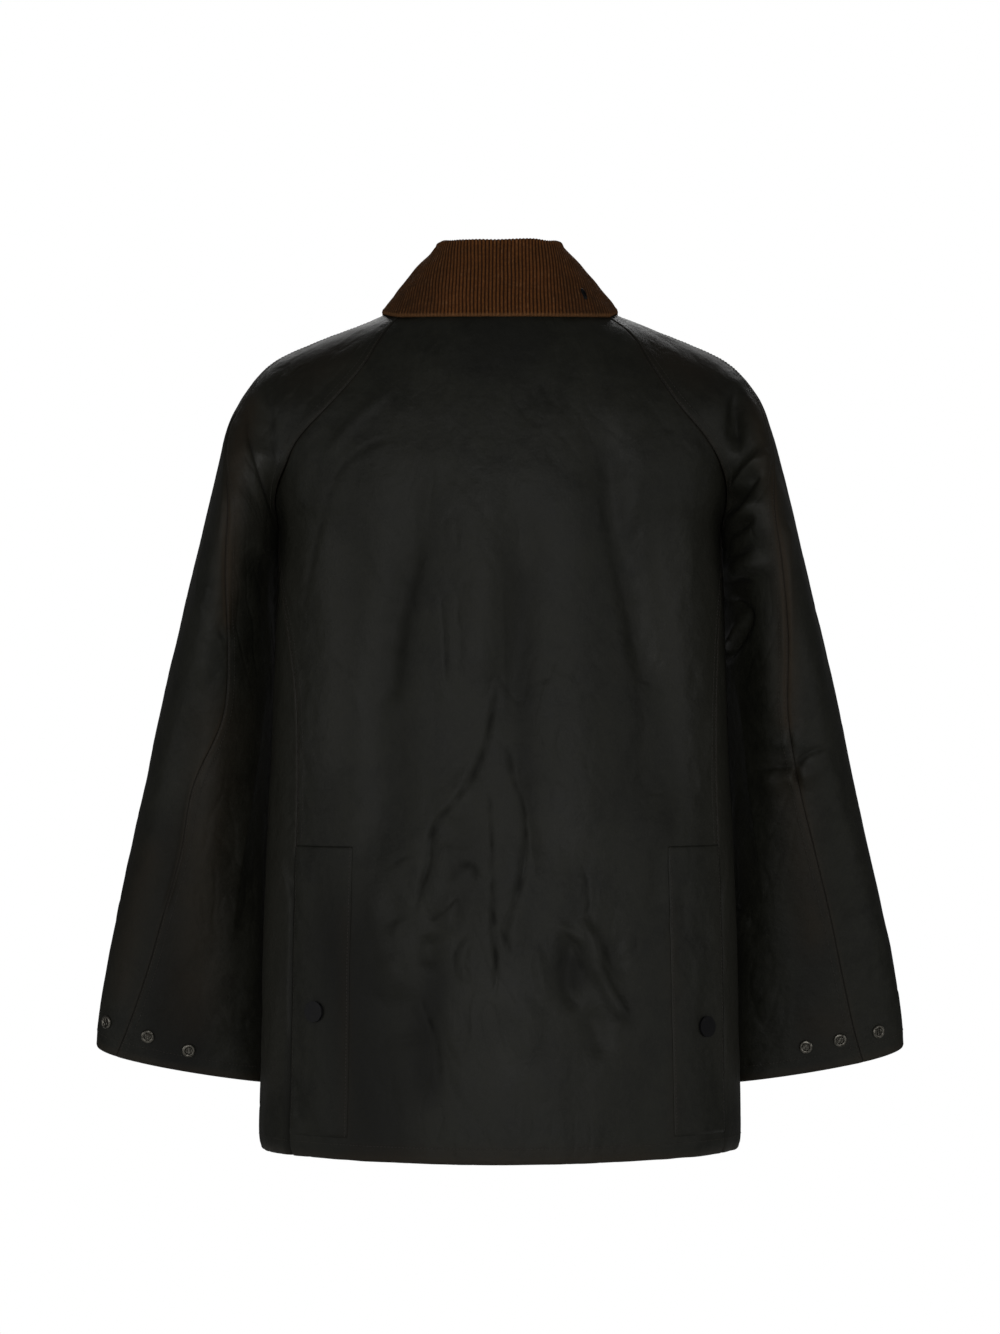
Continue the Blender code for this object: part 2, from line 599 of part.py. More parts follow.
def make_stud(name, profile, point, normal, finish):
    """A turned metal stud that sits on the cloth at a point, facing along its normal."""
    mesh = bpy.data.meshes.new(name)
    corners = [(r * MM, 0, h * MM) for r, h in profile] + [(0, 0, 0)]
    mesh.from_pydata(corners, [(k, k + 1) for k in range(len(corners) - 1)], [])
    stud = add_object(name, mesh, finish)
    turn = stud.modifiers.new("turned", "SCREW")
    turn.steps = turn.render_steps = STUD_STEPS
    turn.use_merge_vertices = True
    turn.merge_threshold = 1e-5
    stud.location = (point + normal * STUD_GAP) * MM
    stud.rotation_euler = Vector(normal).to_track_quat("Z", "Y").to_euler()


def make_studs():
    """All the studs, each on its own piece of cloth."""
    for word, side in SIDES.items():
        for number, place in enumerate(CUFF_STUDS[side], 1):
            point, normal = sleeve_face(side, place.share, place.row)
            make_stud(f"cuff_stud_{word}_{number}", RING_STUD, point, normal, BRIGHT_METAL)
        place = VENT_STUDS[side]
        angle = back_angles(np.array([place.row]), np.array([place.share]))[0, 0]
        normal = body_normal(angle, place.row)
        point = body_point(angle, place.row) + normal * (SEAM_GAP + CLOTH)
        make_stud(f"vent_stud_{word}", CAP_STUD, point, normal, DARK_METAL)
    for number, row in enumerate(FLY_STUD_ROWS, 1):
        normal = body_normal(180.0, row)
        point = body_point(180.0, row) + normal * (SEAM_GAP + CLOTH)
        make_stud(f"fly_stud_{number}", CAP_STUD, point, normal, DARK_METAL)
    drop = 1.2 + 0.8 * COLLAR_STUD_DROP
    point = collar_face(COLLAR_STUD_TURN, drop)
    normal = collar_normal(COLLAR_STUD_TURN, drop)
    make_stud("collar_stud", RING_STUD, point, normal, DARK_METAL)


def main():
    """Clears the scene and builds the jacket."""
    for obj in list(bpy.data.objects):
        bpy.data.objects.remove(obj, do_unlink=True)
    collection = bpy.data.collections.new("jacket")
    bpy.context.scene.collection.children.link(collection)
    collection.objects.link(bpy.data.objects.new("jacket_origin", None))
    make_back()
    for word, side in SIDES.items():
        make_front(f"front_{word}", side)
        make_sleeve(f"sleeve_{word}_back", side, front=False)
        make_sleeve(f"sleeve_{word}_front", side, front=True)
        make_placket(f"vent_placket_{word}", side)
    make_fly()
    make_collar()
    make_studs()


main()
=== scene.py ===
"""The looks of a hollow waxed cotton jacket: cloth, corduroy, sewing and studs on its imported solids.

The jacket stands as it is worn. Its front faces -Y, +X is the wearer's left, and the origin is the
middle of the neck opening, level with the back neck seam. Lengths are in millimetres and angles in
degrees, and they become metres where a mesh is made.
"""

import functools
import logging
import math
from collections.abc import Callable, Iterator
from dataclasses import dataclass, field
from enum import Enum
from typing import NamedTuple

import bpy
import numpy as np
from mathutils import Matrix, Vector

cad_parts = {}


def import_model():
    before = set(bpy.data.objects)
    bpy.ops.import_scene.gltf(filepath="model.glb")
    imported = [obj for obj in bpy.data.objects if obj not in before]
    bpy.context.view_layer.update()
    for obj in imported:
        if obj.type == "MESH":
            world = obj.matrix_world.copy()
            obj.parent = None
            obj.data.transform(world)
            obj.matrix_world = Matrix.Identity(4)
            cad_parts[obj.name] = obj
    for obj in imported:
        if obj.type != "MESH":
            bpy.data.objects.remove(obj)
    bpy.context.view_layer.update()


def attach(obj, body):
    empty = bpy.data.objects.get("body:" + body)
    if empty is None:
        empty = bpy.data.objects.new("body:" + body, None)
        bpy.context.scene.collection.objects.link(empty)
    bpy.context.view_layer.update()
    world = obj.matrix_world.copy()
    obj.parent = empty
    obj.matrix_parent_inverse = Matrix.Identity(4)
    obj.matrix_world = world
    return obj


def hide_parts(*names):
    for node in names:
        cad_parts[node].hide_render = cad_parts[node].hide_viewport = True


log = logging.getLogger("jacket")

Array = np.ndarray
Piece = bpy.types.Object
Point = tuple[float, float]
Colour = tuple[float, float, float]
Surface = tuple[Array, Array]  # points and their unit normals

MM = 0.001
LEFT, RIGHT = 1, -1
SIDES = {LEFT: "left", RIGHT: "right"}
BACK, FRONT = 1, -1
FACES = {BACK: "back", FRONT: "front"}

CLOTH = 1.6
CORDUROY = 2.2
PLACKET_SHELL = 0.7  # visible thickness of a vent's placket
SEAM_GAP = 0.3
WALE = 3.2  # pitch of the corduroy's ribs
STITCH = 3.1  # pitch of the sewing
HEM_TURNING = 13.0  # height of the cloth turned up inside a hem or a cuff
TURNED_ROW = 2.5  # between the rows of that cloth
HEM_STITCHING = 12.0  # from the hem or the cuff
SEAM_STITCHING = (1.7, 7.0)  # from a seam
STRIP_STITCHING = 2.2  # from a strip's side
LAP_WIDTH = 8.4  # of the cloth that lies over its neighbour at a seam
FAR = 60.0  # a point this far from a seam or a hem counts as away from it

UNDERARM, CUFF, HEM = 7, 16, 16  # table rows
PLACKET_TOP, STRIP_END = 11, 15
PLACKET_SHARE = 0.1265  # of the back's width, at each side
FLY_HALF_ANGLE = 13.0
FRONT_TUCK = 0.2  # how far the sleeve's front seam leans in below the underarm
VENT_SINK = {LEFT: 5.5, RIGHT: 2.4}  # of the front's edge behind the back panel
VENT_EDGE, VENT_LINE, VENT_RECESS = 19.0, 15.5, 27.0  # from the front's edge: end of the tuck, line of painted shade and end of painted shade

COLLAR_CREST_RADIUS = 51.0
COLLAR_SQUARENESS = 2.6
COLLAR_STAND_BOW = 6.0
COLLAR_FALL_BOW = 4.8
COLLAR_FOLD = 4.6
STAND_END, FALL_START, FALL_END = 0.8, 1.2, 2.0  # drops: 0 at the neck seam, 1 on the fold

THINNING = 3  # the inside of a shell has one point for this many outside
STEP = 1e-3  # of a row, for slopes
EDGE_STEPS = (0, 0.7, 1.6, 3.0, 5.0, 6.4, 7.8)  # first columns from a panel's side
LINE_POINTS = 200  # of a line along which rows are spaced


class Ring(NamedTuple):
    """One ring round the body, with the seams that cross it."""

    z_back: float
    z_side: float
    z_front: float
    half_width: float
    depth_back: float
    depth_front: float
    squareness: float
    hollow: float
    seam_left: float
    seam_right: float
    seam_front: float


BODY = (
    Ring(0, -14, -75, 68, 62, 60, 2.2, 0, 57, 57, 119),
    Ring(-41, -41, -122, 126, 92, 90, 2.4, 0, 53.8, 60.5, 127),
    Ring(-73, -73, -157, 168, 107, 107, 2.5, 0, 52.5, 58, 127),
    Ring(-110, -110, -190, 198, 118, 118, 2.5, 0, 58, 60.5, 123),
    Ring(-140, -140, -215, 204, 124, 124, 2.5, 0, 65.5, 67.3, 117),
    Ring(-165, -165, -235, 203, 128, 128, 2.5, 0, 70, 73.2, 110),
    Ring(-190, -190, -250, 198, 131, 131, 2.5, 0, 78.5, 80.5, 101),
    Ring(-215, -215, -265, 192, 132, 133, 2.4, 5, 90, 90, 90),
    Ring(-275, -275, -310, 194.5, 131, 135, 2.3, 12, 76.5, 79.5, 90),
    Ring(-345, -345, -368, 196.5, 130, 136, 2.3, 15, 69, 75, 90),
    Ring(-420, -420, -433, 199.5, 130, 138, 2.3, 15, 66.8, 72.8, 90),
    Ring(-491, -491, -497, 203, 131, 140, 2.3, 13, 66.3, 72.3, 90),
    Ring(-558, -558, -560, 205.5, 133, 141, 2.3, 11, 66, 72, 90),
    Ring(-621, -621, -622, 207, 135, 142, 2.3, 8, 65.8, 71.8, 90),
    Ring(-682, -682, -682, 208.5, 137, 143, 2.3, 4, 65.6, 71.6, 90),
    Ring(-739, -736, -738, 209, 138.5, 143, 2.3, 1, 65.5, 71.5, 90),
    Ring(-752, -749, -751, 207, 138, 142.5, 2.25, 0, 65.5, 71.5, 90),
)


class Rib(NamedTuple):
    """One rib of the left sleeve, from the seam over the ridge; x and turns mirror for the right."""

    ridge_x: float
    ridge_y: float
    ridge_z: float
    under_x: float
    under_y: float
    under_z: float
    turn: float
    spread: float
    reach_seam: float
    reach_ridge: float
    slant: float
    over_left: float
    over_right: float


SLEEVE = (
    Rib(68, 0, -14, 182, 20, 20, 0, 0.5, 14, 16, 0, 0, 0),
    Rib(118, -2, -35, 184, 17, -20, 0, 0.5, 25, 28, 0, 0, 0),
    Rib(160, -4, -51, 186, 14, -60, 0, 0.5, 35, 40, 0, -0.02, -0.02),
    Rib(200, -5, -70.5, 187, 11, -95, 0.1, 0.5, 40, 50, 0, -0.1, -0.1),
    Rib(224.5, -5, -99, 188, 8, -125, 0.3, 0.5, 42, 62, 0, -0.25, -0.2),
    Rib(236, -5, -130, 190, 5, -155, 0.65, 0.5, 48, 78, 0, -0.32, -0.3),
    Rib(244, -5, -158, 191, 2, -185, 0.9, 0.2, 75, 100, 0, -0.37, -0.35),
    Rib(252, -5, -190, 192, 0, -215, 1, 0.12, 118, 120, 0, -0.43, -0.4),
    Rib(264.5, -9, -240, 193, -18, -262, 1, 0.22, 114, 116, 0, -0.53, -0.45),
    Rib(278.5, -15, -297, 192, -31, -318, 1, 0.26, 107, 109, 0, -0.6, -0.48),
    Rib(293.5, -21, -360, 192, -40, -382, 1, 0.26, 98, 100, 0, -0.6, -0.53),
    Rib(308, -28, -425, 195, -46, -449, 1, 0.22, 89, 90, 0, -0.46, -0.5),
    Rib(321, -35, -482, 198, -51, -510, 1, 0.16, 80, 81, 0, -0.43, -0.45),
    Rib(333.5, -42, -537, 200, -56, -568, 1, 0.1, 70, 71, 0, -0.38, -0.41),
    Rib(345, -49, -592, 200, -62, -626, 1, 0.05, 60, 61, 3, -0.33, -0.38),
    Rib(353, -54, -638, 200, -67, -674, 1, 0, 52, 53, 9, -0.27, -0.35),
    Rib(355.5, -57, -664.5, 199, -69, -698, 1, 0, 48, 49, 12, -0.22, -0.32),
)


class Profile(Enum):
    """The cross-section of a fold; its value is how far it reaches, in fold widths."""

    SOFT = 3  # a round ridge or trough
    CREASE = 12  # a narrow groove, with a lip along one side
    FACET = 4  # a slope that starts at a sharp line and dies away beyond its width


class Fold(NamedTuple):
    """A ridge (positive depth) or trough (negative) of the cloth along a path."""

    kind: Profile
    width: float
    depth: float
    lean: float  # which side stands higher, or has the lip or the slope, -1 to 1
    path: tuple[Point, ...]

    @property
    def reach(self) -> float:
        """How far from the path the fold is felt."""
        return self.kind.value * self.width


def soft(width: float, depth: float, lean: float, *path: Point) -> Fold:
    """A round ridge or trough."""
    return Fold(Profile.SOFT, width, depth, lean, path)


def crease(width: float, depth: float, lean: float, *path: Point) -> Fold:
    """A narrow groove with a lip."""
    return Fold(Profile.CREASE, width, depth, lean, path)


def facet(width: float, depth: float, lean: float, *path: Point) -> Fold:
    """A slope from a sharp line."""
    return Fold(Profile.FACET, width, depth, lean, path)


BACK_FOLDS = (
    # the broad hangs of the back
    soft(20, -7.1, 0, (62, -150), (82, -260), (100, -345), (98, -440), (112, -520)),
    soft(19, -5.1, 0, (-12, -160), (-20, -260), (-8, -345), (0, -400)),
    soft(20, -7.1, 0, (-88, -110), (-98, -200), (-118, -290), (-132, -370), (-130, -480)),
    soft(24, 4, 0, (22, -200), (18, -300), (30, -380)),
    soft(26, 4, 0, (-70, -310), (-72, -400), (-82, -500)),
    soft(16, 3, 0, (20, -420), (44, -470)),
    soft(18, 4, 0, (112, -540), (98, -590), (84, -622)),
    soft(18, -4, 0, (88, -600), (72, -660)),
    soft(10, -2.3, 0.6, (63, -209), (76, -268), (88, -323), (91, -378)),
    soft(10, -2.1, 0.6, (-93, -133), (-104, -226), (-119, -293), (-132, -353)),
    # the band that runs down to the fork
    facet(17, -3.1, -1, (-2, -215), (-3, -300), (-5, -360), (-6, -398)),
    facet(17, -4.2, -1, (-6, -398), (-14, -432), (-21, -455), (-27, -490), (-33, -525)),
    # the forked crease in the small of the back
    crease(
        2.5, -1.7, 0.8, (0, -346), (8, -378), (13, -401), (23, -425), (38, -447), (54, -465), (59, -482),
        (60, -498), (67, -521), (73, -543),
    ),
    facet(13, 4.2, -1, (55, -466), (59, -482), (60, -498), (67, -521), (74, -545)),
    crease(
        2.3, -1.6, -0.7, (-5, -392), (-12, -428), (-20, -448), (-22, -475), (-20, -501), (-16, -521),
        (-9, -540), (-5, -554), (-9, -576),
    ),
    facet(11, 3.1, 1, (-22, -470), (-20, -501), (-16, -521), (-9, -540)),
    crease(2.3, -0.9, 0.5, (9, -430), (7, -475), (7, -516), (4, -554), (3, -574), (6, -604)),
    crease(1.5, -0.9, 0.5, (101, -508), (86, -497), (70, -489)),
    # crumples below the fork
    crease(3.4, -1.5, 0.6, (57, -540), (46, -521), (33, -503), (23, -501), (17, -519), (13, -545)),
    soft(9, 3.6, 0, (34, -520), (40, -540), (44, -566)),
    facet(13, -5, 1, (73, -543), (88, -553), (86, -572), (79, -590)),
    soft(9, -4.1, 0, (62, -556), (60, -575), (66, -590)),
    soft(10, 3.2, -0.5, (113, -514), (106, -551), (93, -585), (77, -606)),
    crease(1.7, -1.4, 0.6, (69, -609), (63, -624), (56, -642), (51, -662), (49, -689)),
    soft(12, 2.8, 0, (49, -600), (40, -630), (36, -668)),
    soft(9, -6.3, 0, (-46, -551), (-59, -571), (-57, -598), (-67, -630)),
    soft(7, 4.4, -0.4, (-62, -545), (-74, -560), (-81, -577), (-85, -597), (-101, -626), (-112, -640)),
    soft(10, -4.7, 0, (-68, -612), (-82, -640), (-88, -672)),
    crease(1.6, -1.3, 0.6, (-68, -498), (-73, -513), (-75, -533), (-70, -551)),
    soft(8, -2.8, 0, (-96, -556), (-99, -580), (-112, -600)),
    crease(1.6, -0.9, 0.4, (-113, -556), (-115, -577)),
    soft(13, 2.5, 0, (-20, -600), (-24, -640), (-20, -676)),
    crease(1.6, -1.6, 0.6, (64, -530), (60, -543), (54, -544), (42, -534), (33, -522)),
    crease(1.8, -1.5, 0.6, (6, -522), (6, -557), (3, -590), (6, -618)),
    crease(1.8, -1.6, -0.6, (0, -547), (-6, -569), (-12, -585)),
    soft(6, 2.2, 0.6, (-42, -547), (-67, -562), (-78, -581), (-85, -602)),
    crease(2.6, -1.3, 0.6, (-46, -552), (-66, -568), (-74, -586)),
    crease(2.4, -1.2, -0.6, (-62, -572), (-70, -590), (-68, -612)),
    soft(6, 2.1, 0.5, (22, -556), (30, -580), (26, -604)),
    crease(1.8, -1.4, 0.6, (30, -556), (38, -576), (38, -600)),
    soft(7, 1.8, 0.6, (-30, -560), (-36, -590), (-44, -620)),
    soft(9, -2.1, 0.4, (-134, -466), (-138, -500), (-134, -560)),
    # short pressed lines higher up
    crease(1.5, -0.8, 0.4, (-52, -320), (-46, -334), (-40, -344), (-16, -349)),
    crease(1.6, -1, 0.5, (36, -268), (34, -300), (33, -328), (31, -352)),
    crease(1.6, -1.2, -0.5, (50, -270), (47, -305), (46, -330), (45, -352)),
    crease(1.9, -1.4, -0.5, (82, -136), (116, -148), (137, -168), (149, -200), (161, -246), (170, -290)),
    crease(1.9, -1, 0.4, (165, -307), (143, -327), (116, -349)),
    soft(6, 1.5, 0.3, (89, -95), (108, -112), (131, -133), (148, -160)),
)

FRONT_FOLDS = (
    soft(26, -3.6, 0, (70, -250), (86, -400), (92, -560), (96, -720)),
    soft(26, -3.6, 0, (-70, -250), (-88, -400), (-90, -560), (-100, -720)),
    soft(22, 2.4, 0, (125, -230), (140, -420), (138, -600)),
    soft(22, 2.4, 0, (-125, -230), (-140, -420), (-142, -600)),
    crease(2, -1.2, 0.6, (60, -300), (74, -352), (84, -400), (86, -452)),
    facet(14, 1.6, -1, (84, -400), (86, -452), (78, -500)),
    crease(2, -1.2, 0.6, (118, -430), (98, -480), (66, -512)),
    crease(2, -1, -0.4, (110, -300), (122, -352), (118, -400)),
    soft(8, 2, 0.4, (52, -560), (70, -604), (66, -650)),
    soft(9, -2, 0.3, (150, -560), (128, -610), (120, -660)),
    crease(2, -1.2, -0.6, (-66, -330), (-78, -380), (-80, -425), (-76, -470)),
    facet(14, 1.6, 1, (-80, -425), (-76, -470), (-66, -510)),
    crease(2, -1.2, 0.6, (-124, -460), (-96, -500), (-60, -520)),
    crease(2, -1, 0.4, (-130, -280), (-118, -330), (-128, -380)),
    soft(8, 2, -0.4, (-48, -590), (-66, -630), (-60, -690)),
    soft(9, -2, -0.3, (-150, -540), (-132, -590), (-136, -650)),
)

SLEEVE_BACK_FOLDS = (
    # left sleeve
    crease(2.9, -3.2, 0.8, (204, -84), (198, -114), (193, -144), (189, -168)),
    facet(12, -2.8, 1, (204, -84), (198, -114), (193, -144), (189, -168)),
    crease(2.2, -2.2, 0.8, (219, -102), (216, -132), (206, -168), (196, -204)),
    facet(11, 2, 1, (219, -102), (216, -132), (206, -168), (196, -204)),
    soft(8, 2.7, 0, (212, -220), (203, -242)),
    soft(9, -2.2, 0, (216, -262), (224, -292), (232, -314)),
    facet(16, -5, -1, (200, -330), (208, -400), (214, -440), (222, -490), (229, -540), (236, -590)),
    soft(12, -3.6, 0.3, (262, -362), (269, -405), (280, -475), (290, -562)),
    soft(10, 2.6, 0, (226, -105), (229, -160), (238, -220), (250, -290), (262, -362)),
    crease(2.1, -1.6, 0.5, (242, -292), (240, -305), (231, -316)),
    soft(13, 2.4, 0, (243, -400), (252, -470), (254, -540)),
    soft(8, -1.4, 0, (281, -588), (278, -632)),
    # right sleeve
    soft(8, -7.7, 0.5, (-208, -84), (-207, -110), (-203, -155)),
    crease(2.3, -2.2, -0.6, (-208, -96), (-206, -126), (-203, -155)),
    soft(7, 7.1, -0.5, (-232, -142), (-211, -164), (-195, -190)),
    soft(6, -8.3, 0, (-226, -160), (-209, -180), (-196, -206)),
    soft(6, 4.6, 0, (-222, -186), (-209, -199), (-198, -212)),
    soft(5, -6.5, 0, (-218, -203), (-205, -213), (-195, -224)),
    soft(7, 7.7, 0, (-236, -250), (-226, -246), (-213, -243), (-197, -252)),
    crease(2.6, -3.2, 0.6, (-220, -228), (-206, -236), (-196, -240)),
    crease(2.6, -4, 0.6, (-222, -262), (-208, -258), (-195, -262)),
    soft(5, -5.9, 0.5, (-196, -271), (-214, -285), (-213, -300), (-203, -318), (-195, -334)),
    soft(3.5, 4.3, 0.4, (-210, -290), (-205, -303), (-196, -320)),
    facet(15, -5.4, 1, (-200, -330), (-210, -380), (-216, -440), (-224, -500), (-232, -560)),
    crease(2.3, -4, 0.8, (-214, -425), (-239, -420), (-254, -418), (-268, -407), (-291, -400)),
    soft(8, 3.9, 0, (-214, -432), (-248, -431), (-282, -418)),
    soft(7, 3.2, 0, (-220, -400), (-246, -398), (-262, -390)),
    crease(2.6, -3.4, 0.7, (-198, -540), (-211, -549), (-226, -562)),
    crease(2, -1.6, 0.4, (-208, -566), (-222, -571)),
    soft(5, 2.6, 0, (-246, -205), (-247, -270), (-246, -330)),
    soft(12, 2.8, 0, (-227, -275), (-234, -362), (-241, -397)),
    soft(12, -3.3, 0, (-288, -449), (-301, -519), (-315, -588)),
)

SLEEVE_FRONT_FOLDS = (
    soft(13, -3.6, 0, (205, -120), (214, -190), (222, -250)),
    soft(13, -3, 0, (215, -395), (255, -405), (300, -390)),
    crease(2.6, -2, 0.7, (232, -150), (222, -196), (214, -232)),
    crease(2.6, -1.8, 0.6, (214, -352), (246, -372), (276, -368)),
    soft(8, 2.2, 0, (216, -372), (250, -390), (282, -384)),
    soft(12, -2, 0.3, (248, -440), (262, -520), (284, -590)),
    crease(2.3, -1.4, 0.4, (212, -486), (236, -502), (262, -500)),
    soft(13, -3.6, 0, (-205, -120), (-214, -190), (-222, -250)),
    soft(13, -3, 0, (-215, -395), (-255, -405), (-300, -390)),
    crease(2.6, -2, -0.7, (-236, -160), (-224, -204), (-212, -246)),
    crease(2.6, -1.8, 0.6, (-216, -366), (-240, -380), (-282, -372)),
    soft(8, 2.2, 0, (-218, -386), (-246, -402), (-284, -392)),
    soft(12, -2, -0.3, (-250, -452), (-268, -530), (-280, -600)),
    crease(2.3, -1.4, 0.4, (-214, -500), (-232, -512), (-256, -508)),
)

BODY_FOLDS = {BACK: BACK_FOLDS, FRONT: FRONT_FOLDS}
SLEEVE_FOLDS = {BACK: SLEEVE_BACK_FOLDS, FRONT: SLEEVE_FRONT_FOLDS}


class Wax(Enum):
    """What handling has done to the wax, and where light and shade are painted on it."""

    WARM = "warm"  # rubbed to brown
    DULL = "dull"  # darker and rougher: dried wax in some bands, painted shade in others; smoother and painted lighter where its strength is negative


class Worn(NamedTuple):
    """A band of cloth whose wax has changed; some bands are painted shade and painted light."""

    width: float
    strength: float
    path: tuple[Point, ...]

    @property
    def reach(self) -> float:
        """How far from the path the change is seen."""
        return 2.5 * self.width


def band(width: float, strength: float, *path: Point) -> Worn:
    """A band of changed wax along a path; some are painted shade and painted light."""
    return Worn(width, strength, path)


WARM_BEHIND = (
    band(9, 0.85, (214, -88), (228, -200), (236, -310)),
    band(25, 0.55, (236, -330), (250, -450), (262, -560), (266, -680)),
    band(13, 0.5, (300, -470), (322, -560), (336, -640)),
    band(9, 0.75, (-218, -88), (-243, -250), (-250, -400)),
    band(16, 0.5, (-250, -400), (-262, -500), (-280, -600)),
    band(16, 0.4, (-250, -640), (-320, -650)),
    band(20, 0.4, (104, -40), (150, -66), (206, -100)),
    band(20, 0.5, (-104, -40), (-150, -66), (-206, -100)),
    band(8, 0.35, (140, -745), (-140, -745)),
    band(5, 0.22, (131, -530), (131, -740)),
    band(5, 0.18, (-148, -530), (-148, -740)),
)

WARM_BEFORE = (
    band(16, 0.6, (214, -150), (236, -310), (262, -560)),
    band(16, 0.6, (-214, -150), (-240, -310), (-262, -560)),
)

# dried wax, painted shade and, where the strength is negative, painted light and sheen
DULL_AND_PAINTED_LIGHT_BEHIND = (
    band(44, 0.75, (150, -460), (128, -580), (104, -720), (100, -860)),
    # painted shade on the shoulders, and the collar's shadow painted on the yoke
    band(26, 0.5, (104, -40), (150, -62), (206, -96)),
    band(26, 0.6, (-104, -40), (-150, -62), (-206, -96)),
    band(45, 0.6, (60, -30), (0, -60), (-60, -30)),
    band(18, 0.7, (-60, -560), (-64, -620)),
    band(17, 0.35, (26, -440), (30, -520), (22, -570)),
    # painted sheen over smoother wax
    band(22, -0.3, (40, -590), (0, -606), (-50, -600)),
    # painted shade along troughs
    band(13, 0.5, (-18, -230), (-20, -330), (-22, -410), (-28, -480)),
    band(11, 0.5, (-128, -330), (-140, -400), (-142, -500)),
    band(13, 0.4, (74, -230), (80, -300), (84, -370)),
    # painted sheen over smoother wax
    band(26, -0.25, (-112, -420), (-108, -560), (-120, -700)),
    band(24, -0.3, (-20, -430), (-60, -470), (-64, -520)),
    band(24, -0.3, (10, -640), (-30, -690)),
    band(16, 0.6, (46, -560), (60, -640), (56, -720)),
    band(28, 0.7, (282, -420), (288, -540), (280, -660), (280, -780)),
    # painted light beside the armholes and on the back's sides, over smoother wax
    band(13, -0.8, (212, -80), (206, -150), (199, -250)),
    band(24, -0.55, (150, -180), (140, -320), (146, -460)),
    band(24, -0.6, (-150, -180), (-142, -320), (-146, -460)),
    band(16, 0.4, (330, -460), (346, -620)),
    # painted light on the body's sides, against the sleeves' shadow
    band(21, -0.95, (190, -150), (188, -300), (192, -480), (200, -730)),
    band(21, -0.95, (-190, -150), (-188, -300), (-192, -480), (-202, -730)),
    band(40, 0.5, (240, -640), (340, -650)),
    band(32, 0.5, (-262, -460), (-272, -600), (-276, -760)),
)

DULL_BEFORE = (
    band(34, 0.5, (120, -300), (130, -700)),
    band(34, 0.5, (-80, -420), (-96, -720)),
)

# worn wax, and the painted shade and light of the dull bands
WORN = {
    Wax.WARM: {BACK: WARM_BEHIND, FRONT: WARM_BEFORE},
    Wax.DULL: {BACK: DULL_AND_PAINTED_LIGHT_BEHIND, FRONT: DULL_BEFORE},
}
Marks = dict[int, tuple[Fold | Worn, ...]]  # folds or bands of each face


class CollarRow(NamedTuple):
    """The collar at one place round the neck, from the centre back to the centre front."""

    angle: float
    crest_z: float
    fall_row: float
    fall_angle: float


COLLAR = (
    CollarRow(0, 34.4, 0.84, 0),
    CollarRow(45, 34.4, 0.81, 45),
    CollarRow(90, 32.3, 0.66, 90),
    CollarRow(125, 14, 0.82, 121),
    CollarRow(155, -14, 1.04, 143),
    CollarRow(178.5, -34, 1.12, 158),
)


class StudPlace(NamedTuple):
    """A stud's place on a panel."""

    row: float  # table row, or the collar's drop
    share: float  # share across, or turn round a sleeve or the collar
    turn: float = 0.0  # how it happens to be turned, in degrees


CUFF_STUDS = {
    LEFT: (StudPlace(15.05, -0.14, 20), StudPlace(15.1, -0.36, -15), StudPlace(15.25, -0.52, 5)),
    RIGHT: (StudPlace(15.15, -0.24, 10), StudPlace(15.12, -0.41, -25), StudPlace(15.12, -0.54, 30)),
}
VENT_STUDS = {LEFT: StudPlace(13.09, 0.945), RIGHT: StudPlace(13.31, 0.05)}
FLY_STUD_ROWS = (1.6, 6.5, 9.0, 11.2, 13.3)
COLLAR_STUD = StudPlace(1.776, -0.275)
COLLAR_STUD_WIDTH = 0.32  # of its height, as it is seen nearly edge on


# ---- sums on arrays


def spline(table: list | tuple, row: Array) -> Array:
    """A table's columns at fractional row numbers, on a smooth curve through its rows.

    Args:
        table: rows of equal length.
        row: row numbers of any shape.

    Returns:
        An array of row's shape with one more axis, for the columns.
    """
    values = np.array(table, float)
    row = np.asarray(row, float)
    low = np.clip(np.floor(row).astype(int), 0, len(values) - 2)
    f = (row - low)[..., None]
    padded = np.vstack([2 * values[0] - values[1], values, 2 * values[-1] - values[-2]])
    p0, p1, p2, p3 = (padded[low + k] for k in range(4))
    return p1 + 0.5 * f * (
        p2 - p0 + f * (2 * p0 - 5 * p1 + 4 * p2 - p3 + f * (3 * (p1 - p2) + p3 - p0))
    )


def unit(v: Array) -> Array:
    """Vectors made one long."""
    return v / np.maximum(np.linalg.norm(v, axis=-1, keepdims=True), 1e-12)


def lengths(points: Array, axis: int = 0) -> Array:
    """Lengths along a line, or along the rows or columns of a grid, from 0 at the first point."""
    steps = np.linalg.norm(np.diff(points, axis=axis), axis=-1)
    return np.concatenate([0 * steps.take([0], axis), np.cumsum(steps, axis=axis)], axis=axis)


def smooth(x: Array | float) -> Array:
    """0 to 1 with level ends."""
    x = np.clip(x, 0, 1)
    return x * x * (3 - 2 * x)


def grid_normals(face: Array, sign: int) -> Array:
    """Unit normals of a grid of points, from its own slopes.

    Args:
        face: points, rows by columns by 3.
        sign: 1 where columns run to the left of someone who looks at the face, else -1.

    Returns:
        Normals of the same shape.
    """
    return unit(np.cross(np.gradient(face, axis=1), np.gradient(face, axis=0))) * sign


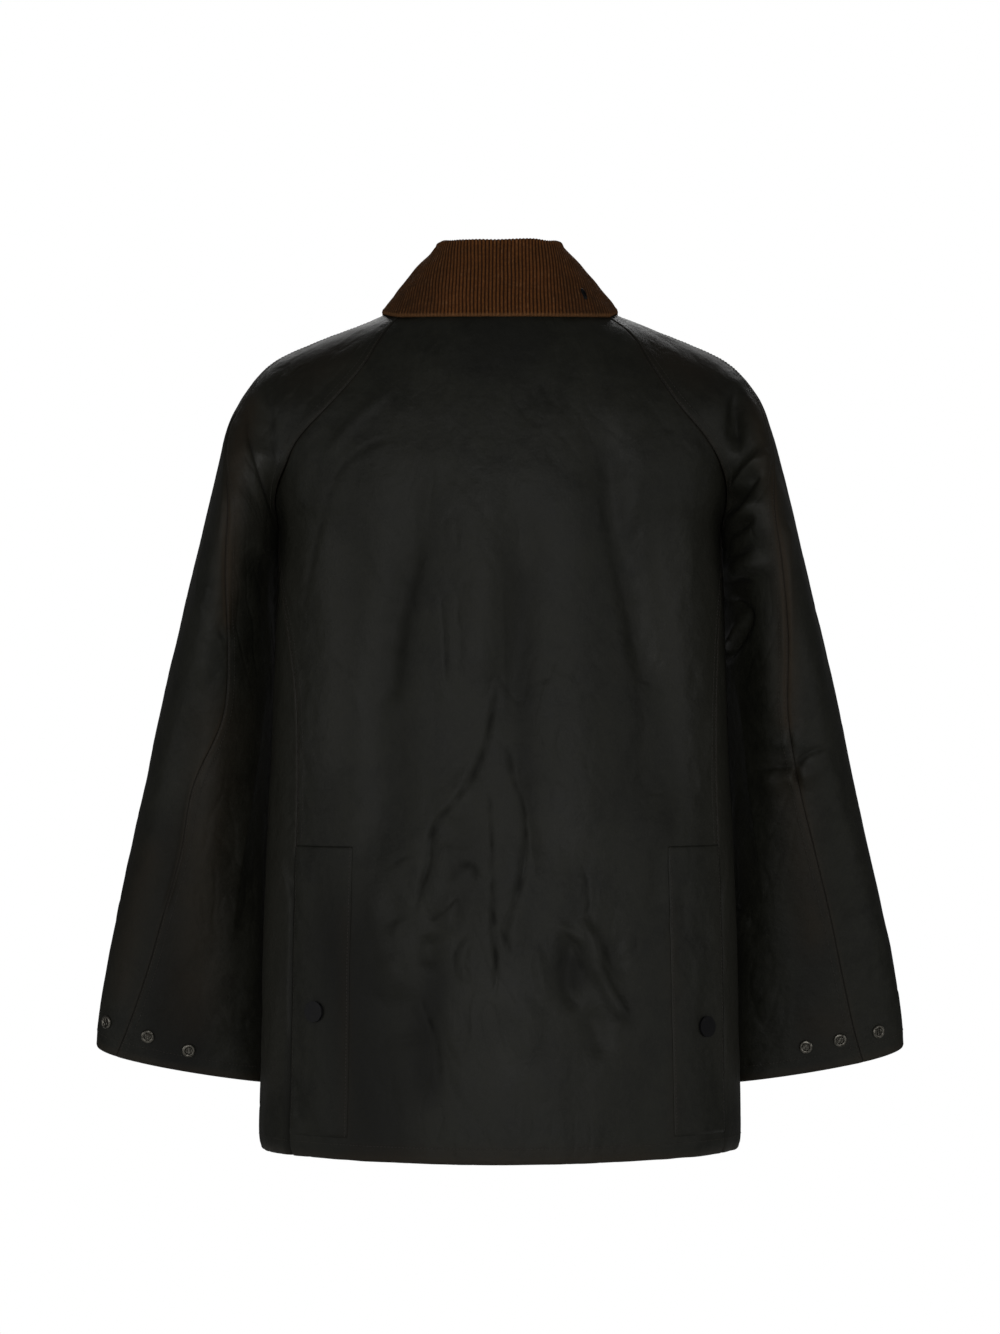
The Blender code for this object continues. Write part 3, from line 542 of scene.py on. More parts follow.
def gradient_noise(u: Array, v: Array, seed: int) -> Array:
    """Smooth seeded noise between about -1 and 1 over a plane, with one bump to a unit square.

    Args:
        u: places across.
        v: places down.
        seed: seed of the draw.

    Returns:
        The noise, of u's shape.
    """
    size = 61
    turns = np.random.default_rng(seed).uniform(0, 2 * np.pi, (size, size))
    i, j = np.floor(u).astype(int), np.floor(v).astype(int)
    f, g = u - i, v - j
    s, t = (w * w * w * (w * (6 * w - 15) + 10) for w in (f, g))

    def corner(di: int, dj: int) -> Array:
        """What the corner at a whole step from a point's own adds to it."""
        turn = turns[(i + di) % size, (j + dj) % size]
        return np.cos(turn) * (f - di) + np.sin(turn) * (g - dj)

    near = corner(0, 0) * (1 - s) + corner(1, 0) * s
    far = corner(0, 1) * (1 - s) + corner(1, 1) * s
    return 1.5 * (near * (1 - t) + far * t)


@functools.cache
def drawn_line(path: tuple[Point, ...]) -> Array:
    """A path as a smooth line of many points."""
    return spline(path, np.linspace(0, len(path) - 1, 5 * len(path)))


class Spots(NamedTuple):
    """A panel's points, as the folds see them; the three arrays have one shape."""

    x: Array
    z: Array
    face: Array  # 1 on the back, -1 on the front, between at the sides


class Nearby(NamedTuple):
    """The points of a panel that lie near a path."""

    mask: Array
    away: Array  # signed distance from the path, positive on its left
    shown: Array  # 1 in the middle of the path, 0 past its ends and on the other face


def beside_path(mark: Fold | Worn, way: int, spots: Spots) -> Nearby | None:
    """The points near a fold's or a worn band's path.

    Args:
        mark: the fold or the band.
        way: its face, BACK or FRONT.
        spots: the panel's points.

    Returns:
        What is near, or None.
    """
    x, z, face = spots.x, spots.z, spots.face * way
    line = drawn_line(mark.path)
    low, high = line.min(axis=0) - mark.reach, line.max(axis=0) + mark.reach
    near = (face > 0) & (x > low[0]) & (x < high[0]) & (z > low[1]) & (z < high[1])
    if not near.any():
        return None
    point = np.stack([x[near], z[near]], -1)[:, None, :]
    start, run = line[:-1], np.diff(line, axis=0)
    t = np.clip(((point - start) * run).sum(-1) / (run * run).sum(-1), 0, 1)
    off = point - start - t[..., None] * run
    away = np.linalg.norm(off, axis=-1)
    best = away.argmin(axis=1)[:, None]
    past = lengths(line)
    along = np.interp((best + np.take_along_axis(t, best, 1))[:, 0], np.arange(len(past)), past)
    fade = min(max(mark.reach, 12), 0.4 * past[-1])
    side = np.sign(run[:, 0] * off[..., 1] - run[:, 1] * off[..., 0])
    ends = smooth(along / fade) * smooth((past[-1] - along) / fade)
    shown = smooth(face[near] * 2) * ends
    return Nearby(near, np.take_along_axis(away * side, best, 1)[:, 0], shown)


def each_beside(marks: Marks, spots: Spots) -> Iterator[tuple[Fold | Worn, Nearby]]:
    """Every fold or band that has points of a panel near it, with those points.

    Args:
        marks: the folds or bands of each face.
        spots: the panel's points.

    Returns:
        Each fold or band with what is near it.
    """
    for way, group in marks.items():
        for mark in group:
            near = beside_path(mark, way, spots)
            if near is not None:
                yield mark, near


def cross_section(fold: Fold, a: Array) -> tuple[Array, Array]:
    """A fold's height and the shading painted along it, across its path.

    Args:
        fold: the fold.
        a: distances from the path in fold widths, positive on its left.

    Returns:
        The share of the fold's depth, and the painted shading: -1 for painted shade in a groove or
        trough, up to 1 for painted highlight on a lip or ridge.
    """
    # the second value of each profile is painted shading: shade in grooves and troughs, highlight on lips
    # and ridges
    if fold.kind is Profile.SOFT:
        return np.exp(-a * a) * (1 + 1.5 * fold.lean * a), 0.15 * np.sign(fold.depth) * np.exp(-a * a)
    toward = a * math.copysign(1, fold.lean)
    if fold.kind is Profile.CREASE:
        groove = np.exp(-(np.abs(a) ** 1.3))
        slope = np.maximum(toward, 0) / 2.6
        lip = slope * np.exp(1 - slope) * abs(fold.lean)
        return 0.8 * groove - 0.75 * lip, 0.3 * lip - (0.45 + 0.14 * min(abs(fold.depth), 4)) * groove
    slope = np.maximum(toward, 0)
    return (1 - np.exp(-2.2 * slope)) * np.exp(-((slope / 2) ** 2)), np.zeros(a.shape)


def fold_lift(folds: Marks, spots: Spots) -> tuple[Array, Array]:
    """How far the folds lift the cloth, and the shading painted along them.

    Args:
        folds: the folds of the body or of the sleeves.
        spots: the panel's points.

    Returns:
        The lift, and a mark that is -1 for painted shade in grooves and 1 for painted highlight on their
        lips.
    """
    lift, pressed = np.zeros(spots.x.shape), np.zeros(spots.x.shape)
    for fold, near in each_beside(folds, spots):
        # rubbed is painted shading: painted shade in grooves, painted highlight on lips
        height, rubbed = cross_section(fold, near.away / fold.width)
        patches = gradient_noise(spots.x[near.mask] / 13, spots.z[near.mask] / 13, 7)
        firm = np.clip(0.7 + 0.8 * patches, 0.15, 1.2)
        uneven = 0.5 + 0.55 * firm if fold.kind is Profile.CREASE else 1.0
        lift[near.mask] += near.shown * fold.depth * height * uneven
        pressed[near.mask] += near.shown * rubbed * firm
    return lift, np.clip(pressed, -1, 1)


def worn_wax_and_painted_light(wax: Wax, spots: Spots) -> Array:
    """How much of one change of the wax, painted shade and light included, there is at points, -1 to 1.

    Args:
        wax: the change.
        spots: the panel's points.

    Returns:
        The change, of the points' shape.
    """
    worn = np.zeros(spots.x.shape)
    for mark, near in each_beside(WORN[wax], spots):
        share = near.shown * np.exp(-((near.away / mark.width) ** 2))
        worn[near.mask] += mark.strength * share
    return np.clip(worn, -1, 1)


def rumple(u: Array, v: Array, seed: int) -> Array:
    """The small unevenness of handled waxed cloth, in millimetres: hangs, dents and creased lines.

    Args:
        u: lengths across.
        v: lengths down.
        seed: seed of the first draw.

    Returns:
        Lifts, of u's shape.
    """
    drift = 9 * gradient_noise(u / 70, v / 70, seed)
    hang = gradient_noise((u + drift) / 26, v / 110, seed + 1)
    dent = gradient_noise((u + drift) / 23, (v - u * 0.3) / 36, seed + 2)
    mark = gradient_noise((u + v * 0.25 + drift) / 19, (v - u * 0.2) / 46, seed + 3)
    fine = gradient_noise(u / 9, v / 14, seed + 4)
    where = smooth(0.4 + 1.1 * gradient_noise(u / 90, v / 110, seed + 5))
    ridged = np.exp(-np.abs(mark) * 11)
    return 0.8 * hang + (0.25 + 0.9 * where) * (0.6 * dent - 0.55 * ridged) + 0.09 * fine


@dataclass(frozen=True)
class Spacing:
    """How far apart a grid's lines are, with one stretch where they are closer."""

    usual: float
    close: float = 0.0
    first: float = 0.0
    last: float = 0.0
    fade: float = 1.0  # over how much of a row or share it changes

    def at(self, place: Array) -> Array:
        """The spacing at rows or shares.

        Args:
            place: table rows or shares across.

        Returns:
            The distance between lines there.
        """
        if not self.close:
            return np.full(place.shape, self.usual)
        inside = smooth((place - self.first) / self.fade) * smooth((self.last - place) / self.fade)
        return self.usual + (self.close - self.usual) * inside


def spread_rows(
    first: float, last: float, spacing: Spacing, line: Callable[[Array], Array]
) -> Array:
    """Row numbers spaced by length.

    Args:
        first: first table row.
        last: last table row.
        spacing: wanted distances.
        line: gives points down the panel at row numbers.

    Returns:
        Row numbers whose count leaves a multiple of THINNING between them.
    """
    rows = np.linspace(first, last, LINE_POINTS)
    step = np.linalg.norm(np.diff(line(rows), axis=0), axis=1)
    counted = np.cumsum(step / spacing.at((rows[1:] + rows[:-1]) / 2))
    counted = np.concatenate([[0], counted])
    count = THINNING * math.ceil(counted[-1] / THINNING)
    return np.interp(np.linspace(0, counted[-1], count + 1), counted, rows)


def spread_columns(edge_steps: tuple[float, ...], width: float, spacing: Spacing) -> Array:
    """Shares from 0 to 1 across a panel, closer together at both edges.

    Args:
        edge_steps: distances of the first columns from an edge.
        width: the panel's usual width.
        spacing: distances of the other columns, by share.

    Returns:
        Shares whose count leaves a multiple of THINNING between them.
    """
    near = np.array(edge_steps) / width
    fine = np.linspace(near[-1], 1 - near[-1], 2 * LINE_POINTS)
    step = np.diff(fine) * width
    counted = np.concatenate([[0], np.cumsum(step / spacing.at((fine[1:] + fine[:-1]) / 2))])
    count = math.ceil(counted[-1])
    count += -(count + 2 * (len(near) - 1)) % THINNING
    middle = np.interp(np.linspace(0, counted[-1], count + 1), counted, fine)
    return np.concatenate([near[:-1], middle, 1 - near[-2::-1]])


# ---- the form of the jacket


class BodyForm:
    """The torso, as smooth rings round the body from the neck to the hem."""

    @staticmethod
    def point(angle: Array, row: Array) -> Array:
        """Points at an angle, 0 at the centre back and 90 at the left, and a table row.

        Args:
            angle: degrees round the body.
            row: table rows.

        Returns:
            Points of the same shape with one more axis.
        """
        angle, row = np.broadcast_arrays(np.asarray(angle, float), np.asarray(row, float))
        ring = np.moveaxis(spline([r[:8] for r in BODY], row), -1, 0)
        z_back, z_side, z_front, width, depth_back, depth_front, square, hollow = ring
        s, c = np.sin(np.radians(angle)), np.cos(np.radians(angle))
        depth = np.where(c > 0, depth_back, depth_front)
        radius = ((np.abs(s) / width) ** square + (np.abs(c) / depth) ** square) ** (-1 / square)
        z = z_side + (np.where(c > 0, z_back, z_front) - z_side) * c * c
        turn = np.abs((angle + 180) % 360 - 180)
        radius = radius - hollow * smooth((turn - 89) / 14) * smooth((150 - turn) / 40)
        return np.stack([radius * s, radius * c, z], -1)

    @classmethod
    def normal(cls, angle: Array, row: Array) -> Array:
        """Unit normals at an angle and row.

        Args:
            angle: degrees round the body.
            row: table rows.

        Returns:
            Normals of the points' shape.
        """
        row = np.clip(row, STEP, HEM - STEP)
        across = cls.point(angle + STEP * 90, row) - cls.point(angle - STEP * 90, row)
        down = cls.point(angle, row + STEP) - cls.point(angle, row - STEP)
        return unit(np.cross(across, down))

    @staticmethod
    def seam(row: Array, side: int, front: bool = False) -> Array:
        """The angle of the raglan seam above the underarm, or of the side seam below it.

        Args:
            row: table rows.
            side: LEFT or RIGHT.
            front: True for the front raglan seam.

        Returns:
            Degrees, negative on the right.
        """
        column = "seam_front" if front else "seam_left" if side == LEFT else "seam_right"
        values = [[getattr(r, column)] for r in BODY]
        row = np.asarray(row, float)
        raglan = spline(values[: UNDERARM + 1], np.minimum(row, UNDERARM))[..., 0]
        below = spline(values[UNDERARM:], np.maximum(row, UNDERARM) - UNDERARM)[..., 0]
        return side * np.where(row <= UNDERARM, raglan, below)


@dataclass(frozen=True)
class SleeveForm:
    """One sleeve, as ribs from its back seam over the ridge to its front seam."""

    side: int

    def start(self, row: Array, front: bool) -> tuple[Array, Array]:
        """Where the ribs leave the body, or the underarm line below it, and their direction.

        Args:
            row: table rows.
            front: True for the front seam.

        Returns:
            Points and unit directions.
        """
        rib = spline(SLEEVE, row)
        on_body = np.minimum(row, UNDERARM)
        angle = BodyForm.seam(on_body, self.side, front)
        seam = BodyForm.point(angle, on_body)
        low, high = np.clip(on_body - STEP, 0, None), np.clip(on_body + STEP, None, UNDERARM)
        run = BodyForm.point(BodyForm.seam(high, self.side, front), high)
        run = run - BodyForm.point(BodyForm.seam(low, self.side, front), low)
        away = np.cross(unit(run), BodyForm.normal(angle, on_body))
        out = BodyForm.point(angle + self.side * 0.5, on_body) - seam
        away = away * np.sign((away * out).sum(-1, keepdims=True)) * (-1 if front else 1)
        lean = rib[..., 7]
        if front:
            lean = (1 - rib[..., 6]) * lean - FRONT_TUCK * smooth(row - UNDERARM)
        arm = [self.side * lean, np.full(row.shape, -1.0 if front else 1.0), 0 * row]
        turn = rib[..., 6:7]
        way = unit((1 - turn) * away + turn * unit(np.stack(arm, -1)))
        under = rib[..., 3:6] * np.array([self.side, 1, 1])
        return np.where(row[..., None] <= UNDERARM, seam, under), way

    def point(self, turn: Array, row: Array) -> Array:
        """Points at a turn, -1 at the back seam, 0 on the ridge and 1 at the front seam.

        Args:
            turn: turns, rows by columns.
            row: table rows, rows by 1.

        Returns:
            Points, rows by columns by 3.
        """
        row = np.asarray(row, float)
        rib = spline(SLEEVE, row)
        ridge = rib[..., 0:3] * np.array([self.side, 1, 1])
        behind = (turn <= 0)[..., None]
        back, back_way = self.start(row, False)
        front, front_way = self.start(row, True)
        start, way = np.where(behind, back, front), np.where(behind, back_way, front_way)
        over = np.where(behind, 1.0, -1.0) * np.array([0, 1, 0])
        slant = np.where(behind, 1.0, -1.0) * np.array([0, 0, 1])
        t = 1 - np.abs(np.clip(turn, -1, 1))[..., None]
        return (
            start * (1 - t) ** 3
            + 3 * (start + way * rib[..., 8:9]) * t * (1 - t) ** 2
            + 3 * (ridge + over * rib[..., 9:10] - slant * rib[..., 10:11]) * t**2 * (1 - t)
            + ridge * t**3
        )


class ShoulderForm:
    """The jacket near the neck, body and sleeve heads together, for what lies on the shoulders."""

    @staticmethod
    def point(angle: Array, row: Array) -> Array:
        """Points at an angle round the neck and a table row.

        Args:
            angle: degrees.
            row: table rows.

        Returns:
            Points of the same shape with one more axis.
        """
        back = np.where(angle < 0, -BodyForm.seam(row, RIGHT), BodyForm.seam(row, LEFT))
        front = BodyForm.seam(row, LEFT, front=True)
        turn = np.abs(angle)
        share = np.clip(2 * (turn - back) / (front - back) - 1, -1, 1)
        left, right = (SleeveForm(side).point(share, row) for side in (LEFT, RIGHT))
        sleeve = np.where((angle < 0)[..., None], right, left)
        on_sleeve = ((turn > back) & (turn < front))[..., None]
        return np.where(on_sleeve, sleeve, BodyForm.point(angle, row))

    @classmethod
    def normal(cls, angle: Array, row: Array) -> Array:
        """Unit normals of those points.

        Args:
            angle: degrees.
            row: table rows.

        Returns:
            Normals of the points' shape.
        """
        row = np.maximum(row, STEP)
        across = cls.point(angle + 1, row) - cls.point(angle - 1, row)
        down = cls.point(angle, row + 0.02) - cls.point(angle, row - STEP)
        return unit(np.cross(across, down))


class CollarForm:
    """The corduroy strip: up the neck, over at the fold and down on to the shoulders."""

    @staticmethod
    def point(turn: Array, drop: Array) -> Array:
        """Points of the corduroy face.

        Args:
            turn: -1 to 1 round the neck, the wearer's right to left.
            drop: 0 at the neck seam, 1 on the fold, 2 at the fall's edge.

        Returns:
            Points of the same shape with one more axis.
        """
        turn, drop = np.broadcast_arrays(np.asarray(turn, float), np.asarray(drop, float))
        side = np.where(turn < 0, -1, 1)
        angle = np.abs(turn) * COLLAR[-1].angle
        place = np.interp(angle, [c.angle for c in COLLAR], range(len(COLLAR)))
        _, crest_z, fall_row, fall_angle = np.moveaxis(spline(COLLAR, place), -1, 0)
        s, c = np.sin(np.radians(angle)) * side, np.cos(np.radians(angle))
        seam = ShoulderForm.point(angle * side, np.zeros(angle.shape))
        normal = ShoulderForm.normal(angle * side, np.zeros(angle.shape))
        below = ShoulderForm.point(angle * side, np.full(angle.shape, 0.05))
        seam = seam - normal * CLOTH / 2 + unit(seam - below) * (SEAM_GAP + CLOTH)
        outward, up = np.stack([s, c, 0 * s], -1), np.array([0, 0, 1.0])
        n = COLLAR_SQUARENESS
        radius = COLLAR_CREST_RADIUS * (np.abs(s) ** n + np.abs(c) ** n) ** (-1 / n)
        crest = outward * radius[..., None] + up * crest_z[..., None]
        edge_angle = fall_angle * side
        edge = ShoulderForm.point(edge_angle, fall_row)
        edge = edge + ShoulderForm.normal(edge_angle, fall_row) * (CORDUROY + 3 * SEAM_GAP)
        k = COLLAR_FOLD
        inner = crest - outward * k - up * k
        outer = crest + outward * k - up * 0.6 * k
        rise = np.clip(drop / STAND_END, 0, 1)[..., None]
        stand = seam * (1 - rise) + inner * rise - outward * (COLLAR_STAND_BOW * rise * (1 - rise))
        turned = np.pi * np.clip((drop - STAND_END) / 0.4, 0, 1)[..., None]
        arch = inner * (0.5 + 0.5 * np.cos(turned)) + outer * (0.5 - 0.5 * np.cos(turned))
        arch = arch + up * (0.9 * k * np.sin(turned))
        fall = np.clip((drop - FALL_START) / 0.8, 0, 1)[..., None]
        bow = COLLAR_FALL_BOW * fall * (1 - fall)
        lean = outer * (1 - fall) + edge * fall + (outward + 0.6 * up) * bow
        drop = drop[..., None]
        return np.where(drop <= STAND_END, stand, np.where(drop <= FALL_START, arch, lean))

    @classmethod
    def surface(cls, turn: float, drop: float) -> Surface:
        """A point of the corduroy face and its normal.

        Args:
            turn: -1 to 1 round the neck.
            drop: 0 at the neck seam, 1 on the fold.

        Returns:
            The point and its unit normal.
        """
        turns, drops = np.array([turn, turn + 0.01, turn]), np.array([drop, drop, drop + 0.02])
        point, near, below = cls.point(turns, drops)
        return point, unit(np.cross(near - point, below - point))


# ---- cloth pieces


class Side(NamedTuple):
    """Where a panel's side edge is sewn, and where it lies over its neighbour, as table rows."""

    sewn: tuple[float, float] = (-1, -1)
    over: tuple[float, float] = (-1, -1)
    lap: float = 0.28  # how high it stands over its neighbour

    @staticmethod
    def mask(span: tuple[float, float], rows: Array) -> Array:
        """1 inside a span of rows and 0 outside, as a column."""
        return (smooth((rows - span[0]) * 6 + 1) * smooth((span[1] - rows) * 6 + 1))[:, None]


class Held(Enum):
    HUNG = "hung"
    LAID = "laid"
    FOLDED = "folded"


@dataclass
class Panel:
    """A cloth piece: a fine grid of points with its sewn edges, made into a thin closed shell.

    The grid starts as the smooth form, and lift moves it along its normals.
    """

    node: str  # the CAD node that the piece stands for
    rows: Array  # table row of each grid row
    shares: Array  # share across of each grid column
    form: Array  # smooth points, rows by columns by 3
    sign: int  # 1 where columns run as an angle does, else -1
    first: Side = Side()
    last: Side = Side()
    thickness: float = CLOTH
    held: Held = Held.HUNG
    seed: int = 1
    lift: Array = field(init=False)
    marks: dict[str, Array] = field(init=False)

    def __post_init__(self) -> None:
        """Works out normals, lengths across and down, and distances to the side edges."""
        self.normal = grid_normals(self.form, self.sign)
        self.lift = np.zeros(self.form.shape[:2])
        self.marks = {key: np.zeros(self.form.shape[:2]) for key in ("pressed", "warm", "dull")}
        self.across, self.down = lengths(self.form, 1), lengths(self.form, 0)
        self.from_first = self.across * self._slope(0, 3)
        self.from_last = (self.across[:, -1:] - self.across) * self._slope(-1, -4)
        self.from_hem = self.down[-1:] - self.down

    def _slope(self, edge: int, inner: int) -> Array:
        """The sine between an edge and the rows, which turns lengths along rows to true distances.

        Args:
            edge: the edge's column.
            inner: a column near it.

        Returns:
            One sine for each row.
        """
        along = unit(np.gradient(self.form[:, edge], axis=0))
        row = unit(self.form[:, inner] - self.form[:, edge])
        return np.linalg.norm(np.cross(along, row), axis=-1)[:, None]

    @property
    def u(self) -> Array:
        """Lengths across, from the middle of each row."""
        return self.across - self.across[:, -1:] / 2

    def near_edge(self) -> Array:
        """Distance to the nearest sewn side edge, FAR where there is none.

        Returns:
            One distance for each point.
        """
        first = FAR + (self.from_first - FAR) * Side.mask(self.first.sewn, self.rows)
        last = FAR + (self.from_last - FAR) * Side.mask(self.last.sewn, self.rows)
        return np.minimum(np.minimum(first, last), FAR)

    def fold(self, folds: Marks, face: Array, calm: Array | float = 1) -> None:
        """Adds folds, worn wax and rumples, with the shade and light painted along folds and in some wax
        bands.

        Args:
            folds: the folds of each face.
            face: 1 where a point is on the back, -1 on the front, between at the sides.
            calm: 1 where the cloth folds and 0 where it lies flat.
        """
        spots = Spots(*np.broadcast_arrays(self.form[..., 0], self.form[..., 2], face))
        lift, pressed = fold_lift(folds, spots)
        edge = self.near_edge()
        self.marks["pressed"] = pressed * calm
        for wax in Wax:
            self.marks[wax.value] = worn_wax_and_painted_light(wax, spots)
        self.lift += lift * calm * smooth(edge / 5)
        self.lift += rumple(self.u, self.down, self.seed) * smooth(edge / 16) * calm

    def sew(self) -> None:
        """Sinks every sewn edge, raises what lies over and puckers the cloth along the sewing."""
        for side, away in ((self.first, self.from_first), (self.last, self.from_last)):
            sewn, over = Side.mask(side.sewn, self.rows), Side.mask(side.over, self.rows)
            phase = 2.5 * gradient_noise(self.down / 40, away / 40, self.seed)
            waves = np.sin(self.down / 2.6 + phase)
            pucker = waves * np.exp(-(((away - SEAM_STITCHING[1]) / 6) ** 2))
            self.lift += sewn * (0.09 * pucker - 0.5 * np.exp(-((away / 1.0) ** 2)))
            self.lift += over * side.lap * smooth((LAP_WIDTH - away) / 2.4)

    def points(self) -> Array:
        """The lifted points."""
        return self.form + self.normal * self.lift[..., None]

    def at(self, row: Array, share: Array) -> Surface:
        """The lifted surface at table rows and shares across.

        Args:
            row: table rows.
            share: shares across.

        Returns:
            Points and unit normals.
        """
        face = self.points()
        normal = grid_normals(face, self.sign)
        return self.sampled(face, row, share), unit(self.sampled(normal, row, share))

    def sampled(self, grid: Array, row: Array, share: Array) -> Array:
        """Any of the panel's grids at table rows and shares across.

        Args:
            grid: the grid.
            row: table rows.
            share: shares across.

        Returns:
            The grid's values there.
        """
        i = np.interp(row, self.rows, np.arange(len(self.rows)))
        j = np.interp(share, self.shares, np.arange(len(self.shares)))
        i, j = np.broadcast_arrays(i, j)
        low_i = np.clip(i.astype(int), 0, len(self.rows) - 2)
        low_j = np.clip(j.astype(int), 0, len(self.shares) - 2)
        f, g = i - low_i, j - low_j
        if grid.ndim == 3:
            f, g = f[..., None], g[..., None]
        top = grid[low_i, low_j] * (1 - g) + grid[low_i, low_j + 1] * g
        low = grid[low_i + 1, low_j] * (1 - g) + grid[low_i + 1, low_j + 1] * g
        return top * (1 - f) + low * f

    def seat(self, row: float, share: float) -> Surface:
        """Where a flat stud rests on the cloth: level with the highest point under it.

        Args:
            row: table row.
            share: share across.

        Returns:
            Its point and unit normal.
        """
        steps = np.array([-0.1, 0, 0.1])
        around, _ = self.at(row + steps[:, None], share + steps[None, :])
        normal = unit(np.cross(around[1, 2] - around[1, 0], around[2, 1] - around[0, 1])) * self.sign
        height = ((around - around[1, 1]) @ normal).max()
        return around[1, 1] + normal * height, normal

    def line_down(self, away: float, from_last: bool = False) -> Surface:
        """The line at a distance from a side edge.

        Args:
            away: the distance.
            from_last: True for the last column's edge.

        Returns:
            Points and unit normals, one for each row.
        """
        distance = self.from_last[:, ::-1] if from_last else self.from_first
        shares = self.shares[::-1] if from_last else self.shares
        share = np.array([np.interp(away, row, shares) for row in distance])
        return self.at(self.rows, share)

    def flat(self) -> tuple[float, float, float]:
        """The cut: area, widest width and longest length of the smooth form, in metres.

        Returns:
            The area in square metres, then the two lengths.
        """
        falling = self.form[1:, 1:] - self.form[:-1, :-1]
        rising = self.form[1:, :-1] - self.form[:-1, 1:]
        area = np.linalg.norm(np.cross(falling, rising), axis=-1).sum() / 2 * MM * MM
        return area, self.across[:, -1].max() * MM, self.down[-1].max() * MM

    def line_across(self, away: float) -> Surface:
        """The line at a distance from the last row, with its normals.

        Args:
            away: the distance.

        Returns:
            Points and unit normals, one for each column.
        """
        middle = len(self.shares) // 2
        row = np.interp(away, self.from_hem[::-1, middle], self.rows[::-1])
        return self.at(np.full(len(self.shares), row), self.shares)

    def shell(self, turn_up: float = 0.0) -> "Shell":
        """The panel as a shell.

        Args:
            turn_up: height of the doubled hem at the last row, 0 for none.

        Returns:
            The shell.
        """
        outer, normal = self.points(), self.normal
        depth = self.thickness - lowest_near(self.lift)
        hem = np.minimum(self.from_hem, FAR) if turn_up else np.full(self.lift.shape, FAR)
        grids = {"u": self.u, "v": self.down, "seam": self.near_edge(), "hem": hem, **self.marks}
        if turn_up:
            fresh, fresh_normal = self._turning(outer, turn_up)
            count = len(fresh)
            outer, normal = np.concatenate([outer, fresh]), np.concatenate([normal, fresh_normal])
            depth = np.concatenate([depth, np.full((count, depth.shape[1]), self.thickness)])
            depth[-count - THINNING : -count] = self.thickness
            grids = {k: np.concatenate([a, np.repeat(a[-1:], count, 0)]) for k, a in grids.items()}
            grids["v"][-count:] += TURNED_ROW * np.arange(1, count + 1)[:, None]
        # the inside is the smooth form, sunk below the deepest crease near each point
        inner = np.concatenate([self.form, outer[len(self.rows) :]]) - normal * depth[..., None]
        return Shell(f"{self.node}_cloth", outer, inner[::THINNING, ::THINNING], self.sign, grids)

    def _turning(self, outer: Array, height: float) -> Surface:
        """The rows turned up inside the last row: round a bend, then back along the cloth.

        Args:
            outer: the panel's points.
            height: of the doubled hem.

        Returns:
            The new rows and their normals.
        """
        bend, radius = np.linspace(0, math.pi, 5)[1:], self.thickness + SEAM_GAP
        normal, down = self.normal, unit(outer[-1] - outer[-2])
        fresh, fresh_normal = [], []
        for turn in bend:
            c, s = math.cos(turn), math.sin(turn)
            fresh.append(outer[-1] + (c - 1) * radius * normal[-1] + s * radius * down)
            fresh_normal.append(c * normal[-1] + s * down)
        back = int((self.from_hem[:, 0] < height).sum())
        back += -(len(bend) + back) % THINNING
        for row in range(2, back + 2):
            fresh.append(outer[-row] - 2 * radius * normal[-row])
            fresh_normal.append(-normal[-row])
        return np.array(fresh), np.array(fresh_normal)


def lowest_near(lift: Array) -> Array:
    """The lowest lift within THINNING cells of each point.

    Args:
        lift: a grid's lifts.

    Returns:
        Lifts of the same shape.
    """
    low = lift
    for axis in (0, 1):
        pad = [(THINNING, THINNING) if axis == k else (0, 0) for k in (0, 1)]
        wide = np.pad(low, pad, mode="edge")
        views = [np.take(wide, range(k, k + low.shape[axis]), axis) for k in range(2 * THINNING + 1)]
        low = np.minimum.reduce(views)
    return low


def new_object(name: str, points: Array, faces: list[tuple[int, ...]]) -> Piece:
    """A smooth-shaded object, its place in its mesh.

    Args:
        name: the piece's name.
        points: its points, in millimetres.
        faces: the numbers of each face's points.

    Returns:
        The object, in the scene.
    """
    mesh = bpy.data.meshes.new(name)
    mesh.from_pydata((points * MM).tolist(), [], faces)
    mesh.shade_smooth()
    piece = bpy.data.objects.new(name, mesh)
    bpy.context.scene.collection.objects.link(piece)
    return piece


